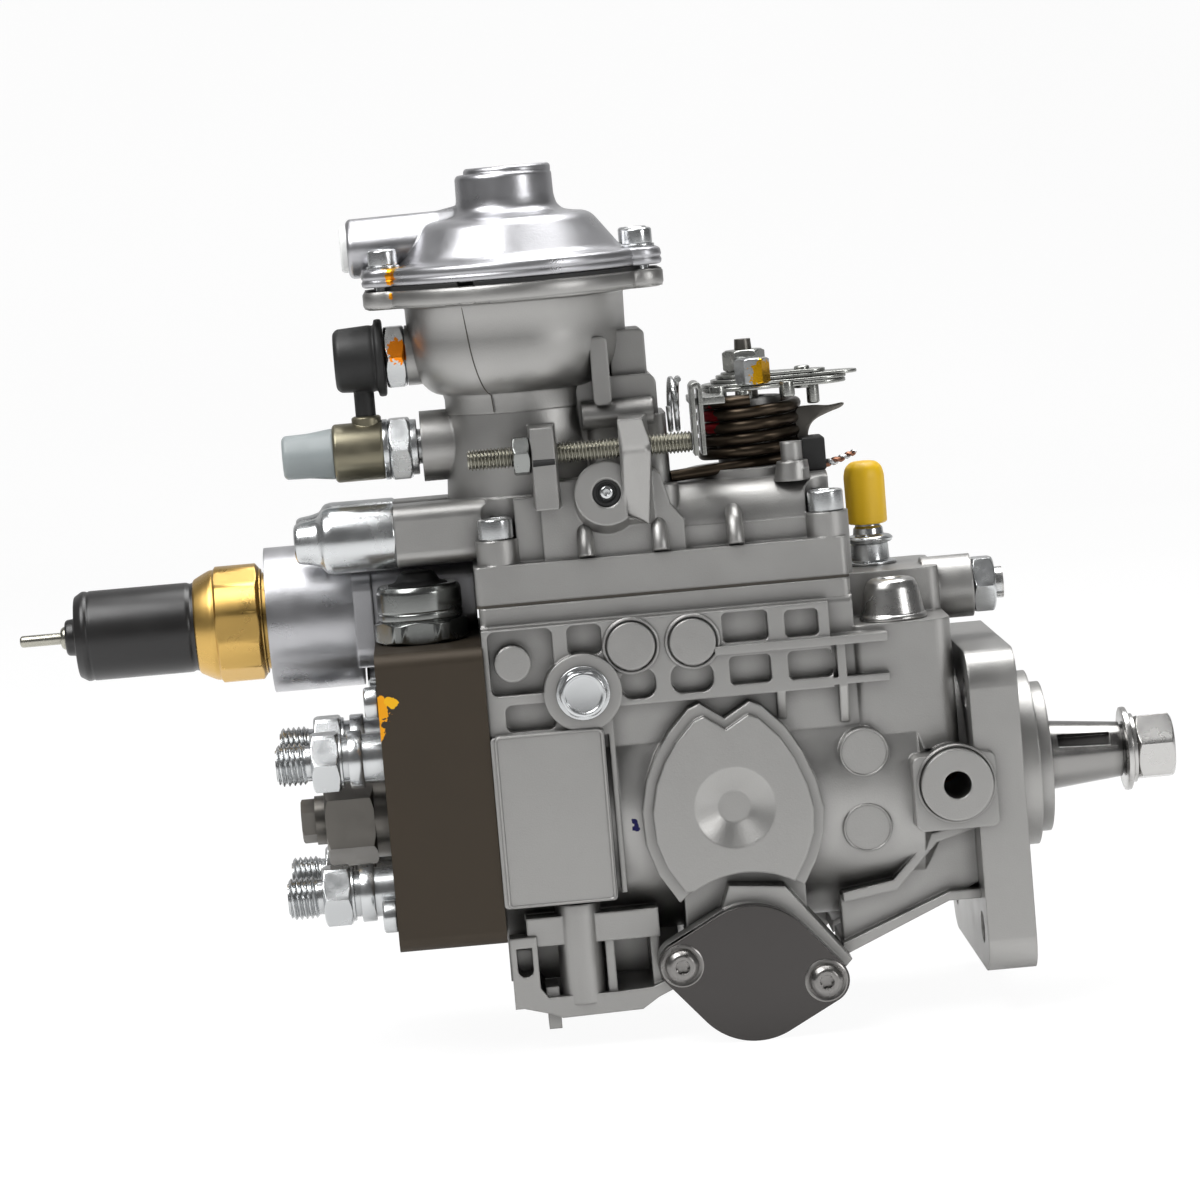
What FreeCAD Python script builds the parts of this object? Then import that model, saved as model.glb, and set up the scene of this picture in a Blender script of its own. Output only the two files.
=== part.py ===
"""Distributor-type diesel injection pump with boost compensator.

Millimetres. The origin is the centre of the mounting flange's face on the drive-shaft axis,
+X points out along the shaft towards its nut, +Z points up to the boost compensator.
"""
import FreeCAD
import Part
import math
import os
from FreeCAD import Placement, Rotation, Vector

# Fits and gaps
RUN = 0.05            # radial running clearance of shafts, pistons and sleeves
GAP = 0.3             # free gap between pieces that move past each other

# Mounting flange and pilot
PILOT_R = 25.0
PILOT_LEN = 7.3
COLLAR_R = 21.5
COLLAR_LEN = 3.8
FLANGE_T = 13.5
FLANGE_TOP = 36.5
FLANGE_BOTTOM = -54.0
FLANGE_HALF_W = 45.0
FLANGE_CORNER_R = 10.0
BOLT_R = 4.5
BOLT_Y = 33.0
BOLT_TOP = 24.0
BOLT_BOTTOM = -42.0

# Pump housing
BARREL_R = 39.0
BORE_R = 32.0
NECK_R = 31.0
HOUSING_REAR = -146.5
BORE_FRONT = -32.0
BARREL_FRONT = -28.0
NECK_BACK = -20.0
BOX_FRONT = -43.0
SIDE_Y = 40.0
SHOULDER_Z = 54.0
PARTING_Z = 59.5
LIP_Y = 34.0
CHAMBER_Y = 27.0
CHAMBER_REAR = -141.0
CHAMBER_FRONT = -48.0

# Relief of the housing's sides, as (x, z) sizes on the visible side at -Y
WALL_Y = 34.5         # wall behind the pockets
RIB_FOOT_Z = 30.0
PAD_TOP_Z = 24.5
POCKETS = [(-145.0, -127.0, 35.5, 53.5, 2.0), (-123.0, -113.4, 45.0, 53.5, 2.0), (-80.0, -67.2, 44.8, 53.3, 1.5),
           (-62.6, -53.2, 44.8, 52.5, 1.5), (-109.3, -99.4, 31.5, 40.0, 3.5), (-95.2, -83.3, 31.9, 40.2, 3.5),
           (-78.8, -67.2, 33.0, 41.0, 1.5), (-62.5, -50.2, 33.0, 41.0, 1.5), (-141.6, -127.8, 25.2, 32.8, 2.0)]
ROUND_PADS = [(-105.5, 46.5, 6.6, 41.4), (-88.4, 46.2, 6.4, 41.4), (-138.5, 44.2, 5.0, 39.4),
              (-43.4, 11.0, 6.8, 38.8), (-44.0, -10.2, 6.8, 38.8)]
OVAL_EDGE = [(-97.0, 21.5), (-91.2, 27.6), (-88.1, 28.8), (-85.0, 26.6), (-81.3, 24.0), (-77.6, 26.2), (-74.2, 28.2),
             (-71.0, 26.8), (-64.7, 20.1), (-60.6, 13.0), (-57.4, 4.6), (-55.9, -3.2), (-56.6, -10.6),
             (-59.4, -18.0), (-64.0, -26.0), (-98.0, -26.0), (-103.0, -18.0), (-105.8, -9.5), (-106.2, 0.0),
             (-104.4, 8.4), (-101.2, 15.4)]
OVAL_CUT_R = 27.5

# Drive shaft
SHAFT_R = 10.0
TAPER_START = 11.5
TAPER_END = 33.0
TAPER_RATIO = 5.0     # length over change of diameter
THREAD_R = 7.0
NUT_FLATS = 22.0
NUT_START = 37.0
NUT_END = 48.0
KEYWAY_W = 4.0
BUSH_R = 13.0
BUSH_LEN = 24.0
SEAL_R = 15.0
SEAL_LEN = 7.0
LOCK_R = 3.85          # threaded hole for the screw that locks the shaft
LOCK_FACE_Y = -50.0
LOCK_THREAD = 28.0     # length of the thread from the boss's face
LOCK_RELIEF_R = 4.5    # plain bore behind the thread, down to the shaft
LOCK_X = -19.2
LOCK_Z = 1.1
COUPLING_R = 17.0
COUPLING_FRONT = -61.0
COUPLING_T = 5.0
CLAW_W = 10.0
CLAW_IN = 9.0
DISC_FRONT = -72.0
DISC_T = 5.0

# Supply pump
ROTOR_R = 24.0
ROTOR_FRONT = -32.5
ROTOR_T = 10.5
VANE_T = 2.5
VANE_LEN = 10.0
ECCENTRICITY = 2.2
PLATE_T = 2.9

# Gears
MODULE = 1.5
DRIVE_TEETH = 40
GOVERNOR_TEETH = 28
PRESSURE_ANGLE = 20.0
BACKLASH = 0.2
GEAR_FRONT = -50.0
GEAR_T = 8.0
GOV_Z = MODULE * (DRIVE_TEETH + GOVERNOR_TEETH) / 2.0

# Cam plate, rollers and timing device
CAM_REAR = -94.0
CAM_T = 5.75
CAM_R = 30.0
LOBES = 4
LOBE_H = 2.2
LOBE_HALF_W = 14.0
ROLLER_R = 5.5
ROLLER_IN = 20.6
ROLLER_OUT = 28.8
ROLLER_PIN_R = 2.0
RING_IN_R = 19.0
RING_FACE = 3.5       # the ring's working face lies this far in front of the roller axis
RING_T = 14.0
RING_RELIEF_Z = 25.8
TIMING_X = -79.3
TIMING_Z = -46.5
PISTON_R = 12.5
PISTON_HALF = 20.0
TIMING_TRAVEL = 8.0
TIMING_PIN_R = 3.0
BLOCK_R = 6.0
BLOCK_HALF = 9.0
TIMING_END_Y = 44.0
TIMING_WALL = 5.0
PLATE_TURN = -11.0
COVER_PLATE_T = 4.0
COVER_SCREW_OFF = 20.1

# Distributor head and plunger
HEAD_REAR = -176.5
HEAD_HALF_W = 42.0
HEAD_TOP = 50.0
HEAD_BOTTOM = -33.5
SPIGOT_LEN = 7.5
BARREL_BUSH_R = 12.0
BARREL_BUSH_FRONT = -130.0
BARREL_BUSH_REAR = -172.0
PLUNGER_R = 6.0
PLUNGER_REAR = -170.0
COLLAR_X = -120.0
SPILL_R = 13.0
SPILL_LEN = 12.0
BALL_R = 2.5
BALL_Z = 11.5
OUTLET_OFF = 19.0
HOLDER_R = 7.0
HOLDER_DEPTH = 10.5
HOLDER_HEX_REAR = -197.0
HOLDER_HEX_T = 8.0
HOLDER_FLATS = 16.0
OUTLET_R = 6.0
OUTLET_END = -207.0
VALVE_R = 3.0
VALVE_LEN = 9.0

# Governor
GOV_SHAFT_R = 4.5
GOV_SHAFT_REAR = -107.0
SLEEVE_R = 8.5
SLEEVE_FRONT = -67.1
SLEEVE_TIP = -115.0
SLEEVE_TIP_R = 3.0
WEIGHT_PIVOT_X = -64.0
WEIGHT_PIVOT_R = 15.0
WEIGHT_W = 10.0
WEIGHTS = 4
TRUNNION_R = 1.2
LEVER_PIVOT_X = -119.8
LEVER_PIVOT_Z = 34.8
LEVER_FACE_X = -115.2
LEVER_T = 3.0
LEVER_TOP_Z = 81.0
LEVER_PIN_R = 3.0
SPRING_Z = 78.0

# Governor cover and control lever
COVER_FLANGE_TOP = 71.0
COVER_REAR = -147.0
COVER_FRONT = -43.0
COVER_HALF_W = 33.0
COVER_SCREW_Y = COVER_HALF_W - 6.0
CAVITY_HALF_W = COVER_SCREW_Y - 4.5
COVER_SCREW_SEAT = 78.0
LOAD_SCREW_Z = 80.5
LOAD_SCREW_YS = (-14.0, 6.0)
LOAD_CAP_R = 9.15
DOME_HALF_W = 28.0
ROOF_Z = 89.0
ROOF_R = 12.0           # rounded edge of the low front part of the cover
DOME_STEP_X = -92.0
GUSSETS = (-117.4, -96.7, -75.7)
GUSSET_T = 4.2
CAVITY_TOP = 84.0
GASKET_T = 0.8
THROTTLE_X = -65.4
THROTTLE_R = 5.0
THROTTLE_PIN_OFF = 7.5
THROTTLE_PIN_R = 2.0
THROTTLE_BOSS_R = 9.5
THROTTLE_BOSS_TOP = 110.0
THROTTLE_TOP = 126.5
LEVER_Z = 112.5
PLATE_LEVER_T = 2.0
IDLE_Y = -34.0
IDLE_Z = 101.0
IDLE_TIP = -83.6
IDLE_END = -146.0
SCREW_M6_R = 3.0
RETURN_SPRING_R = 13.7
RETURN_WIRE_R = 1.3

# Boost compensator
BOOST_X = -129.0
BOWL_NECK_R = 22.0
BOWL_TOP_R = 30.5
BOWL_TOP_Z = 144.0
BOWL_CONE_Z = 115.0
BOWL_WALL_Z = 134.0      # the cup's wall is straight above this height
RIM_R = 39.0
RIM_T = 5.0
CAP_CONE_R = 22.0
CAP_CONE_Z = 165.0
CAP_KNOB_R = 13.5
CAP_KNOB_Z = 168.0
CAP_TOP_Z = 180.5
BOOST_PORT_BACK = -152.0
DIAPHRAGM_T = 1.2
ROD_R = 5.0
ROD_TRAVEL = 6.0
FEELER_Z = 113.0
FEELER_R = 2.0
CONE_START_Z = 105.0
CONE_LEN = 18.0
CONE_DROP = 2.4
STOP_PIVOT_X = -106.0
STOP_PIVOT_Z = 101.0
STOP_ARM_Y = 6.2

# Solenoid, cold-start unit and fittings
SOLENOID_X = -163.0
SOLENOID_Y = -12.0
SOLENOID_R = 12.0
COLD_Y = 25.0
COLD_Z = 56.0
COLD_R = 21.0
BRASS_FLATS = 33.0
INLET_X = -33.0
PRESSURE_X = -31.6
PRESSURE_Y = -25.0
DECK_Z = 46.0


def along_x(x0, x1, r, y=0.0, z=0.0):
    """A round bar along X."""
    return Part.makeCylinder(r, x1 - x0, Vector(x0, y, z), Vector(1, 0, 0))


def along_y(y0, y1, r, x, z):
    """A round bar along Y."""
    return Part.makeCylinder(r, y1 - y0, Vector(x, y0, z), Vector(0, 1, 0))


def along_z(z0, z1, r, x, y):
    """A round bar along Z."""
    return Part.makeCylinder(r, z1 - z0, Vector(x, y, z0), Vector(0, 0, 1))


def block(x0, x1, y0, y1, z0, z1):
    """A rectangular block between two corners."""
    return Part.makeBox(x1 - x0, y1 - y0, z1 - z0, Vector(x0, y0, z0))


def soft_block(x0, x1, y0, y1, z0, z1, r, direction):
    """A block whose four edges along one direction are rounded."""
    solid = block(x0, x1, y0, y1, z0, z1)
    edges = [e for e in solid.Edges if e.tangentAt(e.FirstParameter).cross(direction).Length < 1e-6]
    return solid.makeFillet(r, edges)


def cone_x(x0, x1, r0, r1, y=0.0, z=0.0):
    """A cone frustum along X from radius r0 at x0 to r1 at x1."""
    return Part.makeCone(r0, r1, x1 - x0, Vector(x0, y, z), Vector(1, 0, 0))


def cone_z(z0, z1, r0, r1, x, y):
    """A cone frustum along Z from radius r0 at z0 to r1 at z1."""
    return Part.makeCone(r0, r1, z1 - z0, Vector(x, y, z0), Vector(0, 0, 1))


def hex_bar(direction, start, length, flats):
    """A hexagon bar with its corners lightly turned off, as on a nut or a screw head."""
    radius = flats / math.sqrt(3.0)
    points = [Vector(radius * math.cos(math.radians(60 * i)), radius * math.sin(math.radians(60 * i)), 0)
              for i in range(7)]
    prism = Part.Face(Part.makePolygon(points)).extrude(Vector(0, 0, length))
    cut_back = 0.12 * flats
    turned = fuse([Part.makeCone(radius - cut_back * 0.5, radius - cut_back * 0.5 + cut_back, cut_back * 0.6),
                   Part.makeCylinder(radius * 1.1, length - 1.2 * cut_back, Vector(0, 0, cut_back * 0.6)),
                   Part.makeCone(radius - cut_back * 0.5 + cut_back, radius - cut_back * 0.5,
                                 cut_back * 0.6, Vector(0, 0, length - cut_back * 0.6))])
    prism = prism.common(turned)
    prism.Placement = Placement(start, Rotation(Vector(0, 0, 1), direction))
    return prism


def revolved(points, start, direction):
    """A turned solid: points are (distance along the axis, radius)."""
    wire = Part.makePolygon([Vector(r, 0, a) for a, r in points + points[:1]])
    solid = Part.Face(wire).revolve(Vector(0, 0, 0), Vector(0, 0, 1), 360)
    solid.Placement = Placement(start, Rotation(Vector(0, 0, 1), direction))
    return solid


def fuse(solids):
    """One solid from several that touch or overlap."""
    return solids[0].multiFuse(solids[1:]).removeSplitter() if len(solids) > 1 else solids[0]


def join(solids):
    """Several overlapping solids in one shape, with their faces left as they are."""
    return solids[0].multiFuse(solids[1:]) if len(solids) > 1 else solids[0]


def cut(solid, tools):
    """A solid less several tools."""
    return solid.cut(join(tools))


def group(solids):
    """Separate solids in one node."""
    return Part.makeCompound(solids)


def turned(shape, angle, centre=Vector(0, 0, 0), axis=Vector(1, 0, 0)):
    """A copy turned about an axis."""
    copy = shape.copy()
    copy.rotate(centre, axis, angle)
    return copy


def coil(start, direction, length, radius, wire_r, turns):
    """A coil spring of round wire."""
    helix = Part.makeHelix((length - 2 * wire_r) / turns, length - 2 * wire_r, radius)
    section = Part.Wire(Part.makeCircle(wire_r, Vector(radius, 0, 0), Vector(0, 1, 0)))
    spring = Part.Wire(helix).makePipeShell([section], True, True)
    spring.translate(Vector(0, 0, wire_r))
    spring.Placement = Placement(start, Rotation(Vector(0, 0, 1), direction)).multiply(spring.Placement)
    return spring


def socket_screw(head_base, direction, head_r, head_h, shank_r, shank_len, key):
    """A socket-head screw: direction points from the head's seat out through the head."""
    screw = fuse([Part.makeCylinder(head_r, head_h), Part.makeCylinder(shank_r, shank_len + 0.01,
                                                                     Vector(0, 0, -shank_len))])
    socket = hex_bar(Vector(0, 0, 1), Vector(0, 0, head_h * 0.45), head_h, key)
    screw = screw.cut(socket)
    screw.Placement = Placement(head_base, Rotation(Vector(0, 0, 1), direction))
    return screw


def gear_blank(teeth, front, thickness, centre_z, phase):
    """Spur gear along X; phase is the angle of one tooth's centre from +Y towards +Z, in degrees."""
    pitch_r = MODULE * teeth / 2.0
    base_r = pitch_r * math.cos(math.radians(PRESSURE_ANGLE))
    tip_r = pitch_r + MODULE
    root_r = pitch_r - 1.25 * MODULE
    alpha = math.radians(PRESSURE_ANGLE)
    involute = math.tan(alpha) - alpha
    half_tooth = math.pi / (2.0 * teeth) - BACKLASH / (4.0 * pitch_r)

    def half_angle(rho):
        a = math.acos(min(1.0, base_r / rho))
        return half_tooth + involute - (math.tan(a) - a)

    low = max(base_r, root_r) + 0.01
    radii = [low + (tip_r - low) * k / 4.0 for k in range(5)]
    points = []
    for i in range(teeth):
        centre = math.radians(phase) + 2.0 * math.pi * i / teeth
        flank = [(root_r, -half_angle(low))] + [(rho, -half_angle(rho)) for rho in radii]
        flank += [(rho, half_angle(rho)) for rho in reversed(radii)] + [(root_r, half_angle(low))]
        points += [Vector(front - thickness, rho * math.cos(centre + a), centre_z + rho * math.sin(centre + a))
                   for rho, a in flank]
    return Part.Face(Part.makePolygon(points + points[:1])).extrude(Vector(thickness, 0, 0))


def diamond(y0, y1, half_len, lug_r, body_r, x, z, turn):
    """A rhombic plate along Y: a round middle drawn out to two screw lugs."""
    lugs = []
    for side in (-1, 1):
        reach = math.asin((body_r - lug_r) / half_len)
        pts = [(0, 0)] + [(side * body_r * math.sin(reach), s * body_r * math.cos(reach)) for s in (1,)]
        pts += [(side * (half_len + lug_r * math.sin(reach)), lug_r * math.cos(reach)),
                (side * (half_len + lug_r * math.sin(reach)), -lug_r * math.cos(reach)),
                (side * body_r * math.sin(reach), -body_r * math.cos(reach))]
        wire = Part.makePolygon([Vector(x + a, y0, z + b) for a, b in pts + pts[:1]])
        lugs.append(Part.Face(wire).extrude(Vector(0, y1 - y0, 0)))
        lugs.append(along_y(y0, y1, lug_r, x + side * half_len, z))
    plate = fuse([along_y(y0, y1, body_r, x, z)] + lugs)
    tip = (half_len + lug_r)
    plate = plate.common(block(x - tip, x + tip, y0, y1, z - body_r, z + body_r))
    return turned(plate, -turn, Vector(x, 0, z), Vector(0, 1, 0))


def timing_screw_places():
    """Where the two screws of a timing cover sit, as (x, z)."""
    a = math.radians(PLATE_TURN)
    return [(TIMING_X + s * COVER_SCREW_OFF * math.cos(a), TIMING_Z + s * COVER_SCREW_OFF * math.sin(a))
            for s in (-1, 1)]


def outline_plate(points, y0, y1):
    """A flat casting pad along Y from its outline in x and z."""
    wire = Part.makePolygon([Vector(x, y0, z) for x, z in points + points[:1]])
    return Part.Face(wire).extrude(Vector(0, y1 - y0, 0))


def oval_boss(y0, y1):
    """The raised oval face cast on the side: notched at the top, hollowed round the timing bore, with a dimple."""
    inner = [(-81.0 + (x + 81.0) * 0.885, -1.0 + (z + 1.0) * 0.885) for x, z in OVAL_EDGE]
    step = fuse([outline_plate(OVAL_EDGE, y0 + 2.2, y1), outline_plate(inner, y0, y1)])
    hollow = along_y(y0 - 1, y1 + 1, OVAL_CUT_R, TIMING_X, TIMING_Z)
    dimple = Part.makeCone(11.3, 4.6, 3.2, Vector(-80.6, y0 - 0.01, -0.7), Vector(0, 1, 0))
    return step.cut(hollow).cut(dimple)


def wedge_x(x0, x1, points):
    """A rib or gusset of constant width along X from its outline in y and z."""
    wire = Part.makePolygon([Vector(x0, y, z) for y, z in points + points[:1]])
    return Part.Face(wire).extrude(Vector(x1 - x0, 0, 0))


def side_ribs(side):
    """Wall, rib field and thin ribs of one long side, before its pockets are cut."""
    near, far = sorted((side * (WALL_Y - 4), side * SIDE_Y))
    solids = [block(HOUSING_REAR, -50.2, near, far, RIB_FOOT_Z, SHOULDER_Z),
              block(HOUSING_REAR, -112.5, near, far, PAD_TOP_Z - 2, RIB_FOOT_Z + 1)]
    edge = side * (SIDE_Y + 1.5)
    y0, y1 = sorted((side * 26.0, edge))
    solids.append(block(-82.5, -34.5, y0, y1, 41.8, 44.2))
    y0, y1 = sorted((side * 26.0, side * SIDE_Y))
    solids.append(block(-66.0, -34.5, y0, y1, 30.6, 32.6))
    for x, foot in ((-65.0, 22.0), (-47.6, 19.5)):
        solids.append(wedge_x(x - 1.2, x + 1.2, [(side * 26, 43), (side * SIDE_Y, 43), (side * SIDE_Y, 30),
                                                 (side * 35.5, foot), (side * 26, foot)]))
    return solids


def housing_outside():
    """The cast outline of the pump housing."""
    flange = soft_block(-FLANGE_T, 0, -FLANGE_HALF_W, FLANGE_HALF_W, FLANGE_BOTTOM, FLANGE_TOP,
                        FLANGE_CORNER_R, Vector(1, 0, 0))
    box = soft_block(HOUSING_REAR, BOX_FRONT, -WALL_Y, WALL_Y, 0, SHOULDER_Z + 1, 2.0, Vector(1, 0, 0))
    lip = soft_block(HOUSING_REAR, BOX_FRONT, -LIP_Y, LIP_Y, 30, PARTING_Z, 2.0, Vector(0, 0, 1))
    deck = soft_block(BOX_FRONT - 2, -16, -36, 30, 10, DECK_Z, 5.0, Vector(0, 0, 1))
    tower = soft_block(BOX_FRONT - 2, -16, -12, 26, 20, PARTING_Z - 1.2, 3.0, Vector(0, 0, 1))
    pieces = [along_x(HOUSING_REAR, BARREL_FRONT, BARREL_R), cone_x(BARREL_FRONT, NECK_BACK, BARREL_R, NECK_R),
              along_x(NECK_BACK, -1, NECK_R), flange, box, lip, deck, tower,
              along_x(0 - 1, PILOT_LEN, PILOT_R), along_x(PILOT_LEN - 1, PILOT_LEN + COLLAR_LEN, COLLAR_R),
              along_x(-20, -6, 9.0, 0, GOV_Z)]
    pieces += side_ribs(-1) + side_ribs(1)
    pieces.append(soft_block(-31.0, -8.0, -47, -25, -11.6, 9.2, 2.0, Vector(0, 1, 0)))
    pieces.append(along_y(LOCK_FACE_Y, -30, 10.0, LOCK_X, LOCK_Z))
    for side in (-1, 1):
        y0, y1 = sorted((side * 30.0, side * 42.5))
        pieces.append(soft_block(HOUSING_REAR, -115.0, y0, y1, -23.5, PAD_TOP_Z, 1.2, Vector(0, 1, 0)))
        y0, y1 = sorted((side * 30.0, side * SIDE_Y))
        pieces.append(block(-113.6, -112.2, y0, y1, -22.0, RIB_FOOT_Z + 1))
    pieces.append(oval_boss(-43.2, -30))
    for side in (-1, 1):
        edge = side * TIMING_END_Y
        pieces.append(diamond(min(edge, edge - side * 8), max(edge, edge - side * 8), COVER_SCREW_OFF, 6.5,
                              PISTON_R + TIMING_WALL + 1.5, TIMING_X, TIMING_Z, PLATE_TURN))
        y0, y1 = sorted((side * 24.0, side * (TIMING_END_Y - 1.5)))
        pieces.append(outline_plate([(-84.0, -22.5), (-68.5, -24.0), (-51.5, -46.0), (-54.5, -49.0),
                                     (-90.0, -38.0)], y0, y1))
        y0, y1 = sorted((side * 4.0, side * 34.0))
        pieces.append(outline_plate([(-52.5, -30.0), (-36.8, -27.6), (-24.9, -16.0), (-12.0, -13.0), (-12.0, -29.0),
                                     (-22.0, -33.2), (-52.5, -46.0)], *sorted((side * 22.0, side * 30.0))))
        pieces.append(outline_plate([(-52.0, -28.8), (-37.6, -26.4), (-25.6, -14.2), (-12.0, -11.2), (-12.0, -13.6),
                                     (-24.6, -16.8), (-36.8, -29.2), (-52.0, -31.4)], y0, y1))
        pieces.append(outline_plate([(-53.0, -43.0), (-22.0, -31.0), (-12.0, -31.0), (-12.0, -33.6), (-22.5, -33.6),
                                     (-53.0, -46.4)], y0, y1))
    pieces.append(along_y(-TIMING_END_Y, TIMING_END_Y, PISTON_R + TIMING_WALL, TIMING_X, TIMING_Z))
    pieces.append(block(TIMING_X - 17, TIMING_X + 17, -34, 34, TIMING_Z, -20))
    pieces += lower_foot()
    for x, z, r, y in ROUND_PADS:
        pieces.append(along_y(-y, -30, r, x, z))
    for side in (-1, 1):
        pieces.append(along_y(min(0, side * (SIDE_Y + 2)), max(0, side * (SIDE_Y + 2)), 10.8,
                              LEVER_PIVOT_X, LEVER_PIVOT_Z))
    return join(pieces)


def lower_foot():
    """The open casting under the rear of the barrel: floor, end lug, round column, middle web and two fins."""
    floor = outline_plate([(-146.0, -38.0), (-146.0, -50.5), (-143.5, -53.0), (-136.5, -55.0), (-133.0, -56.5),
                           (-110.5, -56.0), (-105.8, -53.0), (-92.0, -47.0), (-92.0, -44.0), (-107.0, -50.0),
                           (-117.5, -50.5), (-136.5, -50.5), (-139.0, -47.0), (-139.0, -38.0)], -36, 24)
    web = block(HOUSING_REAR, -98, -8, -2, -50, -30)
    lug = block(-146.0, -138.5, -36, -29, -53.0, -33.0)
    column = along_z(-53, -25, 6.4, -126.3, -30.5)
    walls = [block(-119.5, -117.0, -34, -2, -51.5, -30), block(-106.8, -104.4, -33, -2, -51, -28),
             block(-137.0, -133.4, -33.5, -20, -59.8, -48), block(-141.0, -104.0, -35, -25, -36, -28)]
    fins = [block(-91.5, -89.5, -20, 12, -65.5, -52), block(-67.0, -65.0, -20, 12, -64.5, -52)]
    return [floor, web, lug, column] + walls + fins


def pump_housing():
    """Pump housing: flange, pilot, bores and governor chamber."""
    end = PILOT_LEN + COLLAR_LEN
    swing = TIMING_TRAVEL + TIMING_PIN_R + 1.5
    tools = [along_x(HOUSING_REAR - 1, BORE_FRONT, BORE_R),
             block(CHAMBER_REAR, CHAMBER_FRONT, -CHAMBER_Y, CHAMBER_Y, 0, PARTING_Z + 1),
             along_x(BORE_FRONT - 1, end + 1, BUSH_R), along_x(end - SEAL_LEN - 1, end + 1, SEAL_R),
             along_x(CHAMBER_FRONT - 1, 2, GOV_SHAFT_R, 0, GOV_Z),
             along_y(-TIMING_END_Y - 1, TIMING_END_Y + 1, PISTON_R + RUN, TIMING_X, TIMING_Z),
             block(TIMING_X - TIMING_PIN_R - 1, TIMING_X + TIMING_PIN_R + 1, -TIMING_PIN_R - 2.5, swing,
                   TIMING_Z + PISTON_R * 0.6, -BORE_R * 0.9),
             along_y(LOCK_FACE_Y - 10, LOCK_FACE_Y + LOCK_THREAD + 1, LOCK_R, LOCK_X, LOCK_Z),
             along_y(LOCK_FACE_Y + LOCK_THREAD, -BUSH_R + 1, LOCK_RELIEF_R, LOCK_X, LOCK_Z),
             along_z(DECK_Z - 16, DECK_Z + 1, 7.0, PRESSURE_X, PRESSURE_Y),
             along_z(PARTING_Z - 14, PARTING_Z, 5.0, INLET_X, 12.0),
             along_y(-40, -26, 2.2, -142.2, -42.0), block(-144.4, -140.0, -40, -26, -42.0, -36.0)]
    tools += [along_x(-FLANGE_T - 1, 1, BOLT_R, y, z) for y in (-BOLT_Y, BOLT_Y) for z in (BOLT_BOTTOM, BOLT_TOP)]
    for side in (-1, 1):
        tools.append(along_y(min(side * (CHAMBER_Y - 1), side * (SIDE_Y + 3)),
                             max(side * (CHAMBER_Y - 1), side * (SIDE_Y + 3)), LEVER_PIN_R,
                             LEVER_PIVOT_X, LEVER_PIVOT_Z))
        for x, z in timing_screw_places():
            tools.append(along_y(min(side * 36, side * 45), max(side * 36, side * 45), 2.5, x, z))
    for x, y in cover_screw_places():
        tools.append(along_z(PARTING_Z - 12, PARTING_Z + 1, SCREW_M6_R, x, y))
    for side in (-1, 1):
        y0, y1 = sorted((side * WALL_Y, side * (SIDE_Y + 4)))
        for x0, x1, z0, z1, r in POCKETS:
            pocket = soft_block(x0, x1, y0, y1, z0, z1, r, Vector(0, 1, 0))
            for x, z, pad_r, face in ROUND_PADS[:3] + [(LEVER_PIVOT_X, LEVER_PIVOT_Z, 10.8, 0)]:
                if x0 - pad_r < x < x1 + pad_r and z0 - pad_r < z < z1 + pad_r:
                    pocket = pocket.cut(along_y(y0 - 1, y1 + 1, pad_r, x, z))
            tools.append(pocket)
    return cut(housing_outside(), tools)


def cover_screw_places():
    """Where the four corner screws of the governor cover sit, as (x, y)."""
    return [(x, y) for x in (-139.8, -47.6) for y in (-COVER_SCREW_Y, COVER_SCREW_Y)]


def gaskets():
    """Flat gasket under the governor cover, and the one behind the cold-start unit."""
    ring = soft_block(COVER_REAR, COVER_FRONT, -COVER_HALF_W, COVER_HALF_W, PARTING_Z, PARTING_Z + GASKET_T,
                      2.0, Vector(0, 0, 1))
    tools = [block(CHAMBER_REAR, CHAMBER_FRONT, -CAVITY_HALF_W, CAVITY_HALF_W, PARTING_Z - 1, PARTING_Z + 2)]
    tools += [along_z(PARTING_Z - 1, PARTING_Z + 2, SCREW_M6_R, x, y) for x, y in cover_screw_places()]
    return ring.cut(Part.makeCompound(tools))


def seals():
    """Shaft lip seal, head O-ring, timing-cover O-rings and the gaskets."""
    end = PILOT_LEN + COLLAR_LEN
    lip = cut(along_x(end - SEAL_LEN, end, SEAL_R), [along_x(end - SEAL_LEN - 1, end + 1, SHAFT_R + RUN)])
    front = HOUSING_REAR + SPIGOT_LEN
    head_ring = cut(along_x(front - 5, front - 2.5, BORE_R), [along_x(front - 6, front, BORE_R - 2)])
    return group([lip, head_ring, gaskets()])


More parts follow.
